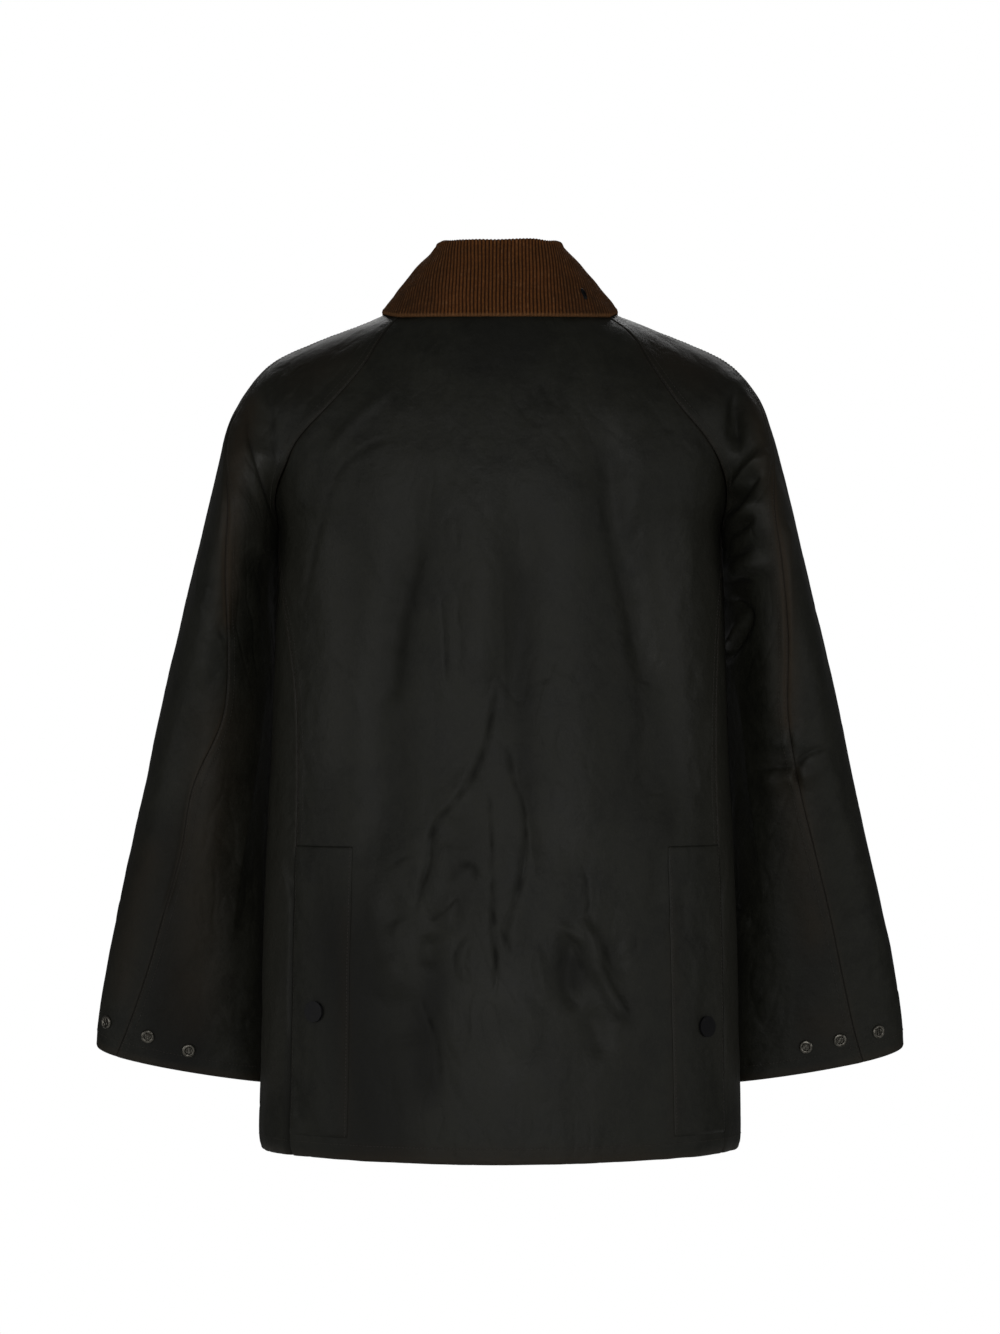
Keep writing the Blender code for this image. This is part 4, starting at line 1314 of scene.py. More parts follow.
@dataclass
class Shell:
    """A closed thin mesh: a fine outer grid, a coarse inner one and the rim between them."""

    name: str
    outer: Array
    inner: Array
    sign: int
    grids: dict[str, Array]  # lengths across and down, u and v, and what the finish reads

    def faces(self) -> list[tuple[int, ...]]:
        """Outer quads, inner quads and the rim, all facing away from the cloth.

        Returns:
            The numbers of each face's points.
        """
        rows, columns = self.outer.shape[:2]
        fine = np.arange(rows * columns).reshape(rows, columns)
        coarse = np.arange(self.inner.shape[0] * self.inner.shape[1]) + rows * columns
        coarse = coarse.reshape(self.inner.shape[:2])

        def quads(index: Array) -> Array:
            """The four points of every cell of a grid."""
            corners = (index[:-1, :-1], index[:-1, 1:], index[1:, 1:], index[1:, :-1])
            return np.stack(corners, -1).reshape(-1, 4)

        found = [tuple(q) for q in quads(fine).tolist()]
        found += [tuple(q[::-1]) for q in quads(coarse).tolist()]
        loops = (
            (fine[0], coarse[0]),
            (fine[:, -1], coarse[:, -1]),
            (fine[-1, ::-1], coarse[-1, ::-1]),
            (fine[::-1, 0], coarse[::-1, 0]),
        )
        for outside, inside in loops:
            for k in range(len(inside) - 1):
                o = outside[THINNING * k : THINNING * (k + 1) + 1].tolist()
                i, j = int(inside[k]), int(inside[k + 1])
                found += [(o[1], o[0], i), (o[2], o[1], i, j), (o[3], o[2], j)]
        return found if self.sign > 0 else [face[::-1] for face in found]

    def build(self) -> Piece:
        """Makes the shell, with its cloth UV map and attributes.

        Returns:
            The object.
        """
        points = np.concatenate([self.outer.reshape(-1, 3), self.inner.reshape(-1, 3)])
        piece = new_object(self.name, points, self.faces())
        mesh = piece.data
        values = {
            key: np.concatenate([a.ravel(), a[::THINNING, ::THINNING].ravel()])
            for key, a in self.grids.items()
        }
        uv = np.stack([values.pop("u"), values.pop("v")], -1) * MM
        for key, value in values.items():
            layer = mesh.attributes.new(key, "FLOAT", "POINT")
            layer.data.foreach_set("value", value.astype(np.float32))
        corners = np.zeros(len(mesh.loops), np.int32)
        mesh.loops.foreach_get("vertex_index", corners)
        uv = uv[corners]
        mesh.uv_layers.new(name="cloth").data.foreach_set("uv", uv.astype(np.float32).ravel())
        return piece


@dataclass
class Sewing:
    """Rows of stitches as one mesh, each stitch a small thread lozenge sunk in the cloth."""

    name: str
    lines: list[Surface] = field(default_factory=list)
    length: float = 2.5
    half_width: float = 0.3
    height: float = 0.32

    def along(self, line: Surface, keep: Array | slice = slice(None)) -> None:
        """Adds a row of stitches along a line's points, or along those to keep."""
        points, normals = line
        self.lines.append((points[keep], normals[keep]))

    def _template(self) -> tuple[Array, list[tuple[int, ...]]]:
        """One stitch along X with Z up: two tips and two rings of five.

        Returns:
            Its points and faces.
        """
        sides = [math.radians(72 * k + 90) for k in range(5)]
        ring = [(0.0, self.half_width * math.cos(a), self.height * math.sin(a)) for a in sides]
        reach = 0.3 * self.length
        rings = [(x, y, z) for x in (-reach, reach) for _, y, z in ring]
        tips = [(-self.length / 2, 0, -self.height), (self.length / 2, 0, -self.height)]
        faces: list[tuple[int, ...]] = []
        for k in range(5):
            n = (k + 1) % 5
            faces += [(k, 5 + k, 5 + n, n), (10, k, n), (11, 5 + n, 5 + k)]
        return np.array(rings + tips), faces

    def build(self) -> Piece:
        """Makes the stitches' mesh.

        Returns:
            The object.
        """
        shape, faces = self._template()
        vertices, found = [], []
        for points, normals in self.lines:
            length = lengths(points)
            count = int(length[-1] / STITCH)
            middle = (np.arange(count) + 0.5) * length[-1] / count
            places, ahead, up = (
                np.stack([np.interp(spot, length, column) for column in values.T], -1)
                for spot, values in ((middle, points), (middle + 0.5, points), (middle, normals))
            )
            x_axis, up = unit(ahead - places), unit(up)
            y_axis = unit(np.cross(up, x_axis))
            z_axis = np.cross(x_axis, y_axis)
            axes = np.stack([x_axis, y_axis, z_axis], 1)
            made = places[:, None, :] + np.einsum("vk,nkc->nvc", shape, axes)
            start = sum(len(v) for v in vertices)
            vertices.append(made.reshape(-1, 3))
            found += [
                tuple(start + len(shape) * n + corner for corner in face)
                for n in range(count)
                for face in faces
            ]
        return new_object(self.name, np.concatenate(vertices), found)


# ---- finishes


class Wire:
    """A value on its way through a finish's nodes, with sums written as usual."""

    def __init__(self, shader: "Shader", source: bpy.types.NodeSocket | float) -> None:
        """Holds a socket or a plain number."""
        self.shader = shader
        self.source = source

    def _sum(self, operation: str, *others: "Wire | float") -> "Wire":
        """A Math node over this value and others."""
        values = dict(enumerate((self, *others)))
        return self.shader.node("ShaderNodeMath", values, operation=operation)["Value"]

    def __add__(self, other: "Wire | float") -> "Wire":
        """Sum."""
        return self._sum("ADD", other)

    __radd__ = __add__

    def __sub__(self, other: "Wire | float") -> "Wire":
        """Difference."""
        return self._sum("SUBTRACT", other)

    def __rsub__(self, other: float) -> "Wire":
        """Difference, number first."""
        return Wire(self.shader, other) - self

    def __mul__(self, other: "Wire | float") -> "Wire":
        """Product."""
        return self._sum("MULTIPLY", other)

    __rmul__ = __mul__

    def sine(self) -> "Wire":
        """Sine of an angle in radians."""
        return self._sum("SINE")

    def size(self) -> "Wire":
        """The value without its sign."""
        return self._sum("ABSOLUTE")

    def between(self, low: float, high: float) -> "Wire":
        """0 at low and 1 at high, on a smooth step; low may be the larger.

        Args:
            low: the value where the step is 0.
            high: the value where it is 1.

        Returns:
            The step.
        """
        if low > high:
            return 1 - self.between(high, low)
        values = {"Value": self, "From Min": low, "From Max": high}
        made = self.shader.node("ShaderNodeMapRange", values, interpolation_type="SMOOTHSTEP")
        return made["Result"]


class Outputs:
    """A node's outputs, by name or number, as wires."""

    def __init__(self, shader: "Shader", node: bpy.types.Node) -> None:
        """Keeps the node."""
        self.shader = shader
        self.node = node

    def __getitem__(self, name: str | int) -> Wire:
        """One output."""
        return Wire(self.shader, self.node.outputs[name])


class Shader:
    """A procedural material under construction."""

    def __init__(self, name: str, plain: dict[str, object] | None = None) -> None:
        """Starts a material whose shader has only plain values.

        Args:
            name: the material's name.
            plain: values of the shader's sockets that are the same all over.
        """
        self.material = bpy.data.materials.new(name)
        self.material.use_nodes = True
        self.tree = self.material.node_tree
        self.principled = self.tree.nodes["Principled BSDF"]
        for socket, value in (plain or {}).items():
            self.principled.inputs[socket].default_value = value
        log.info("finish %s", name)

    def node(self, kind: str, values: dict | None = None, **settings: object) -> Outputs:
        """Any node.

        Args:
            kind: the node's type.
            values: numbers, colours or wires for its inputs, by name or number.
            settings: its properties, set before anything is plugged in.

        Returns:
            The node's outputs.
        """
        made = self.tree.nodes.new(kind)
        for key, value in settings.items():
            setattr(made, key, value)
        for key, value in (values or {}).items():
            value = value.source if isinstance(value, Wire) else value
            if isinstance(value, bpy.types.NodeSocket):
                self.tree.links.new(value, made.inputs[key])
            else:
                made.inputs[key].default_value = value
        return Outputs(self, made)

    def attribute(self, name: str) -> Wire:
        """A number kept on the mesh's points."""
        kept = self.node("ShaderNodeAttribute", attribute_type="GEOMETRY", attribute_name=name)
        return kept["Fac"]

    def place(self) -> Wire:
        """The point in the jacket's own frame, in metres."""
        return self.node("ShaderNodeTexCoord")["Object"]

    def cloth(self) -> Wire:
        """Metres across and down the cloth."""
        return self.node("ShaderNodeUVMap", uv_map="cloth")["UV"]

    def axis(self, vector: Wire, name: str) -> Wire:
        """A vector's X, Y or Z."""
        return self.node("ShaderNodeSeparateXYZ", {"Vector": vector})[name]

    def noise(self, spot: Wire, size_mm: float, detail: float = 2, rough: float = 0.5) -> Wire:
        """Noise from 0 to 1, whose lumps are about size_mm across."""
        values = {"Vector": spot, "Scale": 1 / (size_mm * MM), "Detail": detail, "Roughness": rough}
        return self.node("ShaderNodeTexNoise", values)["Fac"]

    def stretched(self, spot: Wire, up: float) -> Wire:
        """The point with its heights scaled."""
        return self.node("ShaderNodeMapping", {"Vector": spot, "Scale": (1, 1, up)})["Vector"]

    def blend(self, share: Wire, low: "Wire | Colour", high: Colour) -> Wire:
        """A colour between two.

        Args:
            share: how much of the second there is.
            low: the first.
            high: the second.

        Returns:
            The blended colour.
        """
        low = low if isinstance(low, Wire) else (*low, 1)
        values = {0: share, 6: low, 7: (*high, 1)}
        return self.node("ShaderNodeMix", values, data_type="RGBA", clamp_factor=True)[2]

    def layered(self, base: Wire, *layers: tuple[Wire, Colour]) -> Wire:
        """A colour with others laid over it, each by its share.

        Args:
            base: the colour below.
            *layers: each layer's share and colour.

        Returns:
            The layered colour.
        """
        for share, colour in layers:
            base = self.blend(share, base, colour)
        return base

    def bumps(self, *layers: tuple[Wire, float]) -> Wire:
        """A normal from heights between 0 and 1, each with the millimetres that it stands for.

        Args:
            *layers: each layer's heights and millimetres.

        Returns:
            The normal.
        """
        values: dict[str, Wire | float] = {"Strength": 1.0}
        for height, distance in layers:
            values |= {"Height": height, "Distance": distance * MM}
            values["Normal"] = self.node("ShaderNodeBump", values)["Normal"]
        return values["Normal"]

    def finished(self, colour: Wire, rough: Wire, normal: Wire) -> bpy.types.Material:
        """Plugs in what changes over the surface, and gives the material.

        Args:
            colour: base colour.
            rough: roughness.
            normal: bumped normal.

        Returns:
            The material.
        """
        for name, wire in (("Base Color", colour), ("Roughness", rough), ("Normal", normal)):
            self.tree.links.new(wire.source, self.principled.inputs[name])
        return self.material


@dataclass(frozen=True)
class WaxedCotton:
    """Olive-black waxed cotton: grey sheen, mottled wax, browner where it is rubbed, with painted shade
    in its creases and painted shade and light in some bands.
    """

    dark: Colour = (0.0072, 0.0074, 0.0051)
    olive: Colour = (0.0138, 0.0141, 0.0101)
    patch: Colour = (0.0140, 0.0138, 0.0098)
    flake: Colour = (0.0200, 0.0200, 0.0152)
    speck: Colour = (0.022, 0.0215, 0.0165)
    # the first of these two is dried wax and painted shade in the dull bands; the second, pale, is
    # painted light where their strength is negative
    dried_wax_and_shade: Colour = (0.0048, 0.0047, 0.0036)
    pale: Colour = (0.0270, 0.0265, 0.0210)
    brown: Colour = (0.0235, 0.0170, 0.0098)
    edge: Colour = (0.034, 0.0245, 0.0150)
    # lip is a painted highlight beside a crease, with wax paled by the crease; groove is painted shade in
    # creases, troughs and the vent slits
    lip: Colour = (0.026, 0.024, 0.019)
    groove: Colour = (0.0042, 0.0041, 0.0033)
    sewn: Colour = (0.006, 0.0048, 0.0036)
    specular: float = 0.23
    yarn: float = 0.62  # pitch of the weave

    def make(self) -> bpy.types.Material:
        """Wires the cloth's colour, sheen and weave.

        Returns:
            The material.
        """
        shader = Shader("waxed_cotton", {"Specular IOR Level": self.specular})
        spot = shader.place()
        seam, hem = shader.attribute("seam"), shader.attribute("hem")
        pressed, warm, dull = (shader.attribute(name) for name in ("pressed", "warm", "dull"))
        mottle = shader.noise(spot, 34, 4, 0.62)
        flake = shader.noise(spot, 8, 5, 0.68)
        speck = shader.noise(spot, 2.6, 3, 0.7)
        wear = shader.noise(spot, 11, 3, 0.6)
        rubbed = warm * (0.35 + mottle) + warm * warm * seam.between(5.0, 2.0)
        edges = (seam.between(4.5, 1.0) * 0.16 + hem.between(8, 0.6) * 0.35) * (0.3 + wear)
        # groove: painted shade in creases, troughs and vent slits; the lip layer below is painted
        # highlight
        groove = pressed.between(0.0, -1.0)
        colour = shader.layered(
            shader.blend(mottle.between(0.3, 0.7), self.dark, self.olive),
            (shader.noise(spot, 95, 2).between(0.35, 0.7) * 0.5, self.patch),
            (flake.between(0.42, 0.66) * 0.3, self.flake),
            (speck.between(0.45, 0.75) * 0.22, self.speck),
            # dull bands: dried wax and painted shade, and painted light where negative
            (dull.between(0.1, 0.9) * 0.8, self.dried_wax_and_shade),
            (dull.between(-0.1, -1.0) * 0.75, self.pale),
            (rubbed, self.brown),
            (edges, self.edge),
            (pressed.between(0.0, 1.0) * 0.2, self.lip),
            (groove * 0.55, self.groove),
            (seam.between(1.2, 0.3) * 0.5, self.sewn),
        )
        rough = 0.39 + 0.16 * mottle + 0.14 * flake + 0.16 * dull + 0.12 * rubbed + 0.32 * groove
        yarn = 2 * math.pi / (self.yarn * MM)
        across, down = (shader.axis(shader.cloth(), name) * yarn for name in "XY")
        normal = shader.bumps(
            (across.sine() * down.sine() * 0.5 + 0.5, 0.035),
            (shader.noise(spot, 0.9, 2, 0.6), 0.07),
            (speck, 0.09),
            (shader.noise(spot, 7.5, 4, 0.6), 0.3),
            (shader.noise(spot, 19, 3, 0.55), 1.1),
        )
        return shader.finished(colour, rough, normal)


@dataclass(frozen=True)
class Corduroy:
    """Brown corduroy: grooves painted dark as shade, paler worn tops with painted glints, uneven
    orange-brown patches and painted shade towards its sides.
    """

    shaded_valley: Colour = (0.014, 0.0044, 0.0015)
    top: Colour = (0.168, 0.060, 0.0145)
    patch: Colour = (0.200, 0.070, 0.020)
    blotch: Colour = (0.030, 0.0115, 0.0048)
    shaded: Colour = (0.036, 0.0175, 0.0072)
    glint: Colour = (0.260, 0.120, 0.048)
    edge: Colour = (0.190, 0.088, 0.033)
    tuft: Colour = (0.02, 0.007, 0.0025)
    sheen: Colour = (0.8, 0.38, 0.15)
    pile: float = 0.9  # length of the pile's waves along a rib

    def make(self) -> bpy.types.Material:
        """Wires the pile's colour, its wales and its wear.

        Returns:
            The material.
        """
        plain = {"Specular IOR Level": 0.15, "Sheen Weight": 0.12, "Sheen Roughness": 0.4}
        shader = Shader("corduroy", {**plain, "Sheen Tint": (*self.sheen, 1)})
        spot = shader.place()
        edge, rib = shader.attribute("edge"), shader.attribute("rib")
        tuft = shader.noise(shader.stretched(spot, 0.35), 1.3, 3, 0.7)
        blotch = shader.noise(spot, 9, 3, 0.65)
        patch = shader.noise(spot, 30, 4, 0.65).between(0.42, 0.68) * 0.45
        streak = shader.noise(shader.stretched(spot, 0.12), 3.4, 2, 0.6).between(0.5, 0.75)
        aside = shader.axis(spot, "X").size().between(0.03, 0.085)
        colour = shader.layered(
            # the valleys' colour is painted shade between the wales; glint is a painted highlight on the
            # rib tops, and shaded is painted shade towards the collar's sides
            shader.blend(rib.between(0.35, 1.0), self.shaded_valley, self.top),
            (patch * rib.between(0.2, 0.9), self.patch),
            (blotch.between(0.5, 0.8) * 0.4, self.blotch),
            (aside * (0.15 + blotch), self.shaded),
            (streak * rib.between(0.7, 1.0) * 0.6, self.glint),
            (edge.between(3.0, 0.8) * 0.6, self.edge),
            (tuft.between(0.62, 0.42) * 0.35, self.tuft),
        )
        pile = shader.axis(shader.cloth(), "Y") * (2 * math.pi / (self.pile * MM)) + tuft * 6
        normal = shader.bumps((pile.sine() * 0.5 + 0.5, 0.10), (tuft, 0.35))
        return shader.finished(colour, 0.82 + 0.14 * tuft, normal)


@dataclass(frozen=True)
class Thread:
    """Waxed sewing thread with its twist."""

    dark: Colour = (0.009, 0.0078, 0.0058)
    pale: Colour = (0.021, 0.017, 0.012)
    faded: Colour = (0.030, 0.022, 0.0145)

    def make(self) -> bpy.types.Material:
        """Wires the sewing thread.

        Returns:
            The material.
        """
        shader = Shader("thread")
        spot = shader.place()
        twist = shader.noise(spot, 0.5, 2).between(0.3, 0.7)
        shade = shader.noise(spot, 14, 2).between(0.3, 0.7)
        colour = shader.layered(shader.blend(twist, self.dark, self.pale), (shade * 0.4, self.faded))
        return shader.finished(colour, 0.55 + 0.2 * twist, shader.bumps((twist, 0.08)))


@dataclass(frozen=True)
class WornNickel:
    """Worn nickel: brushed, with dull spots and dirt."""

    bright: Colour = (0.19, 0.18, 0.155)
    dirt: Colour = (0.045, 0.042, 0.035)

    def make(self) -> bpy.types.Material:
        """Wires the ring studs' metal.

        Returns:
            The material.
        """
        shader = Shader("bright_metal", {"Metallic": 1.0})
        spot = shader.place()
        dull = shader.noise(spot, 2.2, 3, 0.6).between(0.35, 0.7)
        scratch = shader.noise(shader.stretched(spot, 6), 0.8, 3, 0.7)
        colour = shader.blend(dull, self.bright, self.dirt)
        rough = 0.27 + 0.2 * dull + 0.08 * scratch
        return shader.finished(colour, rough, shader.bumps((scratch, 0.02)))


@dataclass(frozen=True)
class DarkEnamel:
    """Dark enamelled metal with worn edges."""

    enamel: Colour = (0.007, 0.007, 0.0075)
    bare: Colour = (0.04, 0.037, 0.033)
    specular: float = 0.14

    def make(self) -> bpy.types.Material:
        """Wires the cap studs' enamel.

        Returns:
            The material.
        """
        shader = Shader("dark_metal", {"Specular IOR Level": self.specular})
        spot = shader.place()
        worn = shader.noise(spot, 3.0, 4, 0.7).between(0.6, 0.78)
        grain = shader.noise(spot, 0.7, 3, 0.6)
        colour = shader.blend(worn, self.enamel, self.bare)
        return shader.finished(colour, 0.34 + 0.16 * grain, shader.bumps((grain, 0.03)))


class Slot(Enum):
    """The record's material slots, and thread, which has none."""

    WAXED_COTTON = "waxed_cotton"
    CORDUROY = "corduroy"
    BRIGHT_METAL = "bright_metal"
    DARK_METAL = "dark_metal"
    THREAD = "thread"


FINISHES = {
    Slot.WAXED_COTTON: WaxedCotton(),
    Slot.CORDUROY: Corduroy(),
    Slot.BRIGHT_METAL: WornNickel(),
    Slot.DARK_METAL: DarkEnamel(),
    Slot.THREAD: Thread(),
}


class Wardrobe:
    """The finished materials, and how a piece joins the frame."""

    def __init__(self) -> None:
        """Makes every finish once."""
        self.materials = {slot: finish.make() for slot, finish in FINISHES.items()}

    def join(self, piece: Piece, slot: Slot, *nodes: str) -> None:
        """Dresses a piece, rides it on the jacket and lets it stand for CAD nodes.

        Args:
            piece: the new object.
            slot: its material slot.
            nodes: the CAD nodes that it replaces.
        """
        piece.data.materials.append(self.materials[slot])
        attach(piece, "root")
        if nodes:
            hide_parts(*nodes)
        log.info("piece %s: %d faces", piece.name, len(piece.data.polygons))

    def hang(self, panel: Panel, shell: Shell, slot: Slot = Slot.WAXED_COTTON) -> None:
        """Args:
            panel: the panel.
            shell: the panel as a thin closed shell.
            slot: its material slot.
        """
        piece = shell.build()
        self.join(piece, slot, panel.node)
        area, width, length = panel.flat()
        log.info("cut %s: %.0f x %.0f mm, %.3f m2", piece.name, width / MM, length / MM, area)


# ---- the torso and the sleeves


@dataclass
class Torso:
    """The back and the two fronts."""

    wardrobe: Wardrobe
    back_width: float = 430.0  # usual widths
    front_width: float = 300.0
    back: Panel = field(init=False)
    fronts: dict[int, Panel] = field(init=False)

    def __post_init__(self) -> None:
        """Lays out the three panels."""
        self.back = self._back()
        self.fronts = {side: self._front(side) for side in SIDES}

    @property
    def panels(self) -> tuple[Panel, ...]:
        """The back and both fronts."""
        return self.back, *self.fronts.values()

    @staticmethod
    def _face(form: Array) -> Array:
        """1 on the back and -1 on the front, with the sides between."""
        return np.clip(3 * form[..., 1] / 130, -1, 1)

    def _back(self) -> Panel:
        """The back, from the right seam to the left, finest round the forked crease.

        Returns:
            The panel.
        """
        rows = spread_rows(0, HEM, Spacing(3.0, 1.8, 8.2, 14.0), functools.partial(BodyForm.point, 0))
        shares = spread_columns(EDGE_STEPS, self.back_width, Spacing(3.0, 1.7, 0.2, 0.8, 0.1))
        left, right = (BodyForm.seam(rows, side)[:, None] for side in SIDES)
        form = BodyForm.point(right + (left - right) * shares, rows[:, None])
        side = Side(sewn=(0, PLACKET_TOP), over=(UNDERARM, PLACKET_TOP), lap=0.2)
        panel = Panel("back", rows, shares, form, 1, side, side, seed=11)
        panel.fold(BODY_FOLDS, self._face(form))
        panel.sew()
        return panel

    def _front(self, side: int) -> Panel:
        """A front, from its raglan and side seams to the centre.

        Args:
            side: LEFT or RIGHT.

        Returns:
            The panel.
        """
        rows = spread_rows(0, HEM, Spacing(2.6), functools.partial(BodyForm.point, 100 * side))
        shares = spread_columns(EDGE_STEPS, self.front_width, Spacing(2.6))
        raglan, under = BodyForm.seam(rows, side, front=True), BodyForm.seam(rows, side)
        start = np.abs(np.where(rows <= UNDERARM, raglan, under))
        slit = smooth((rows - PLACKET_TOP - 0.05) / 0.6)
        start = (start - 3.8 * slit)[:, None]
        form = BodyForm.point(side * (start + (180 - start) * shares), rows[:, None])
        edge = Side(sewn=(0, PLACKET_TOP))
        node = f"front_{SIDES[side]}"
        panel = Panel(node, rows, shares, form, side, edge, Side(), seed=23 + side)
        angle = np.degrees(np.arctan2(np.abs(form[..., 0]), -form[..., 1]))
        panel.fold(BODY_FOLDS, self._face(form), smooth((angle - FLY_HALF_ANGLE + 1) / 6))
        panel.sew()
        self._sink_vent(panel, side, slit[:, None])
        return panel

    @staticmethod
    def _sink_vent(panel: Panel, side: int, slit: Array) -> None:
        """Sinks a front's edge behind the back panel at its vent, and paints shade along the slit.

        Args:
            panel: the front.
            side: LEFT or RIGHT.
            slit: 1 on the rows of the vent and 0 above it, as a column.
        """
        away = panel.from_first
        panel.lift -= VENT_SINK[side] * slit * smooth((VENT_EDGE - away) / 6)
        # painted shade along the slit's line, and over the left vent's recess
        shade = np.exp(-(((away - VENT_LINE) / 3) ** 2))
        if side == LEFT:
            recess = smooth((panel.rows - 13.1) / 0.5)[:, None] * smooth((VENT_RECESS - away) / 8)
            shade = np.maximum(shade, 0.8 * recess)
        else:
            shade = 0.5 * shade
        panel.marks["pressed"] -= slit * shade

    def build(self) -> None:
        """Makes the panels' objects."""
        for panel in self.panels:
            self.wardrobe.hang(panel, panel.shell(HEM_TURNING))


class HalfCut(NamedTuple):
    """How one half of a sleeve is laid out."""

    middle: float  # turn of its middle line
    width: float  # usual width
    columns: float  # between columns


SLEEVE_CUTS = {BACK: HalfCut(-0.5, 135, 1.9), FRONT: HalfCut(0.4, 190, 2.6)}


@dataclass
class Sleeve:
    """One sleeve's two halves, sewn over the arm and under it."""

    wardrobe: Wardrobe
    side: int
    halves: dict[int, Panel] = field(init=False)

    def __post_init__(self) -> None:
        """Lays out both halves."""
        self.halves = {face: self._half(face) for face in FACES}

    def _over_seam(self, rows: Array) -> Array:
        """The turn of the over-arm seam."""
        return spline(SLEEVE, rows)[:, Rib._fields.index(f"over_{SIDES[self.side]}")]

    def _middle(self, turn: float, rows: Array) -> Array:
        """The line down a half's middle."""
        return SleeveForm(self.side).point(np.array([[turn]]), rows[:, None])[:, 0]

    def _half(self, face: int) -> Panel:
        """Half a sleeve, its columns from the back towards the front.

        Args:
            face: BACK or FRONT.

        Returns:
            The panel.
        """
        cut = SLEEVE_CUTS[face]
        line = functools.partial(self._middle, cut.middle)
        rows = spread_rows(0, CUFF, Spacing(2.4, 1.8, 2, 12), line)
        shares = spread_columns(EDGE_STEPS, cut.width, Spacing(cut.columns))
        over = self._over_seam(rows)[:, None]
        low, high = (-1, over) if face == BACK else (over, 1)
        turns = low + (high - low) * shares
        points = SleeveForm(self.side).point(turns, rows[:, None])
        whole, raglan = (0, CUFF), (0, UNDERARM)
        if face == BACK:
            first, last = Side(whole, raglan), Side(whole, whole)
        else:
            first, last = Side(whole), Side(whole, raglan)
        node = f"sleeve_{SIDES[self.side]}_{FACES[face]}"
        seed = 40 + face + 5 * self.side
        panel = Panel(node, rows, shares, points, self.side, first, last, seed=seed)
        shown = np.clip(-5 * np.sin(np.pi * turns), -1, 1)
        panel.fold(SLEEVE_FOLDS, shown, smooth((CUFF - rows[:, None]) / 0.5))
        panel.sew()
        return panel

    def turned(self, row: float, turn: float) -> Surface:
        """A point of the sleeve and its normal, by its turn.

        Args:
            row: table row.
            turn: turn round the sleeve.

        Returns:
            The point and its unit normal.
        """
        over = self._over_seam(np.array([row]))[0]
        behind = turn < over
        share = (turn + 1) / (over + 1) if behind else (turn - over) / (1 - over)
        point, normal = self.halves[BACK if behind else FRONT].at(np.array([row]), np.array([share]))
        return point[0], normal[0]

    def build(self) -> None:
        """Makes both halves' objects."""
        for panel in self.halves.values():
            self.wardrobe.hang(panel, panel.shell(HEM_TURNING))


# ---- what lies on the torso


@dataclass
class Strip:
    """A strip sewn on to the torso: a vent's placket or the fly."""

    wardrobe: Wardrobe
    panel: Panel

    @classmethod
    def vent_placket(cls, wardrobe: Wardrobe, torso: Torso, side: int) -> "Strip":
        """The stitched band on the back panel's lower corner, by one vent.

        Args:
            wardrobe: what dresses it.
            torso: what it lies on.
            side: LEFT or RIGHT.

        Returns:
            The strip.
        """
        rows = torso.back.rows
        top = np.searchsorted(rows, PLACKET_TOP - 0.1)
        low = np.searchsorted(rows, STRIP_END) + 1
        low -= (low - top - 1) % THINNING
        rows = rows[top:low]
        start = 1 - PLACKET_SHARE
        shares = start + (1 - start) * np.linspace(0, 1, 34)
        if side == RIGHT:
            shares = 1 - shares[::-1]
        grid = np.meshgrid(rows, shares, indexing="ij")
        form, _ = torso.back.at(*grid)
        node = f"vent_placket_{SIDES[side]}"
        panel = Panel(
            node, rows, shares, form, 1, thickness=PLACKET_SHELL, held=Held.LAID, seed=61 + side
        )
        for key, mark in torso.back.marks.items():
            panel.marks[key] = torso.back.sampled(mark, *grid)
        strip = cls(wardrobe, panel)
        strip.raise_off(PLACKET_SHELL + SEAM_GAP, (side == LEFT, side == RIGHT, True, True))
        return strip

    @classmethod
    def fly(cls, wardrobe: Wardrobe) -> "Strip":
        """The fly over the centre front.

        Args:
            wardrobe: what dresses it.

        Returns:
            The strip.
        """
        rows = spread_rows(1, STRIP_END, Spacing(2.8), functools.partial(BodyForm.point, 180))
        shares = spread_columns(EDGE_STEPS[:3], 60, Spacing(2.6))
        angles = 180 - FLY_HALF_ANGLE + 2 * FLY_HALF_ANGLE * shares
        form = BodyForm.point(angles[None, :], rows[:, None])
        panel = Panel("fly", rows, shares, form, 1, held=Held.LAID, seed=71)
        panel.lift += 0.35 * rumple(panel.u, panel.down, panel.seed) * smooth(panel.down / 30)
        strip = cls(wardrobe, panel)
        strip.raise_off(CLOTH + 2 * SEAM_GAP, (False, True, True, True))
        return strip

    def raise_off(self, height: float, sides: tuple[bool, bool, bool, bool]) -> None:
        """Lifts the strip off what it lies on, down to it at its sewn edges.

        Args:
            height: how far it stands above.
            sides: whether the first column, last column, first row and last row are sewn down.
        """
        panel = self.panel
        away = (panel.from_first, panel.from_last, panel.down, panel.from_hem)
        panel.lift += height
        for sewn, distance in zip(sides, away):
            panel.lift -= (height - 0.4 if sewn else 0.3) * np.exp(-((distance / 1.5) ** 2))

    def build(self) -> None:
        """Makes the strip's object."""
        self.wardrobe.hang(self.panel, self.panel.shell())


# ---- the collar


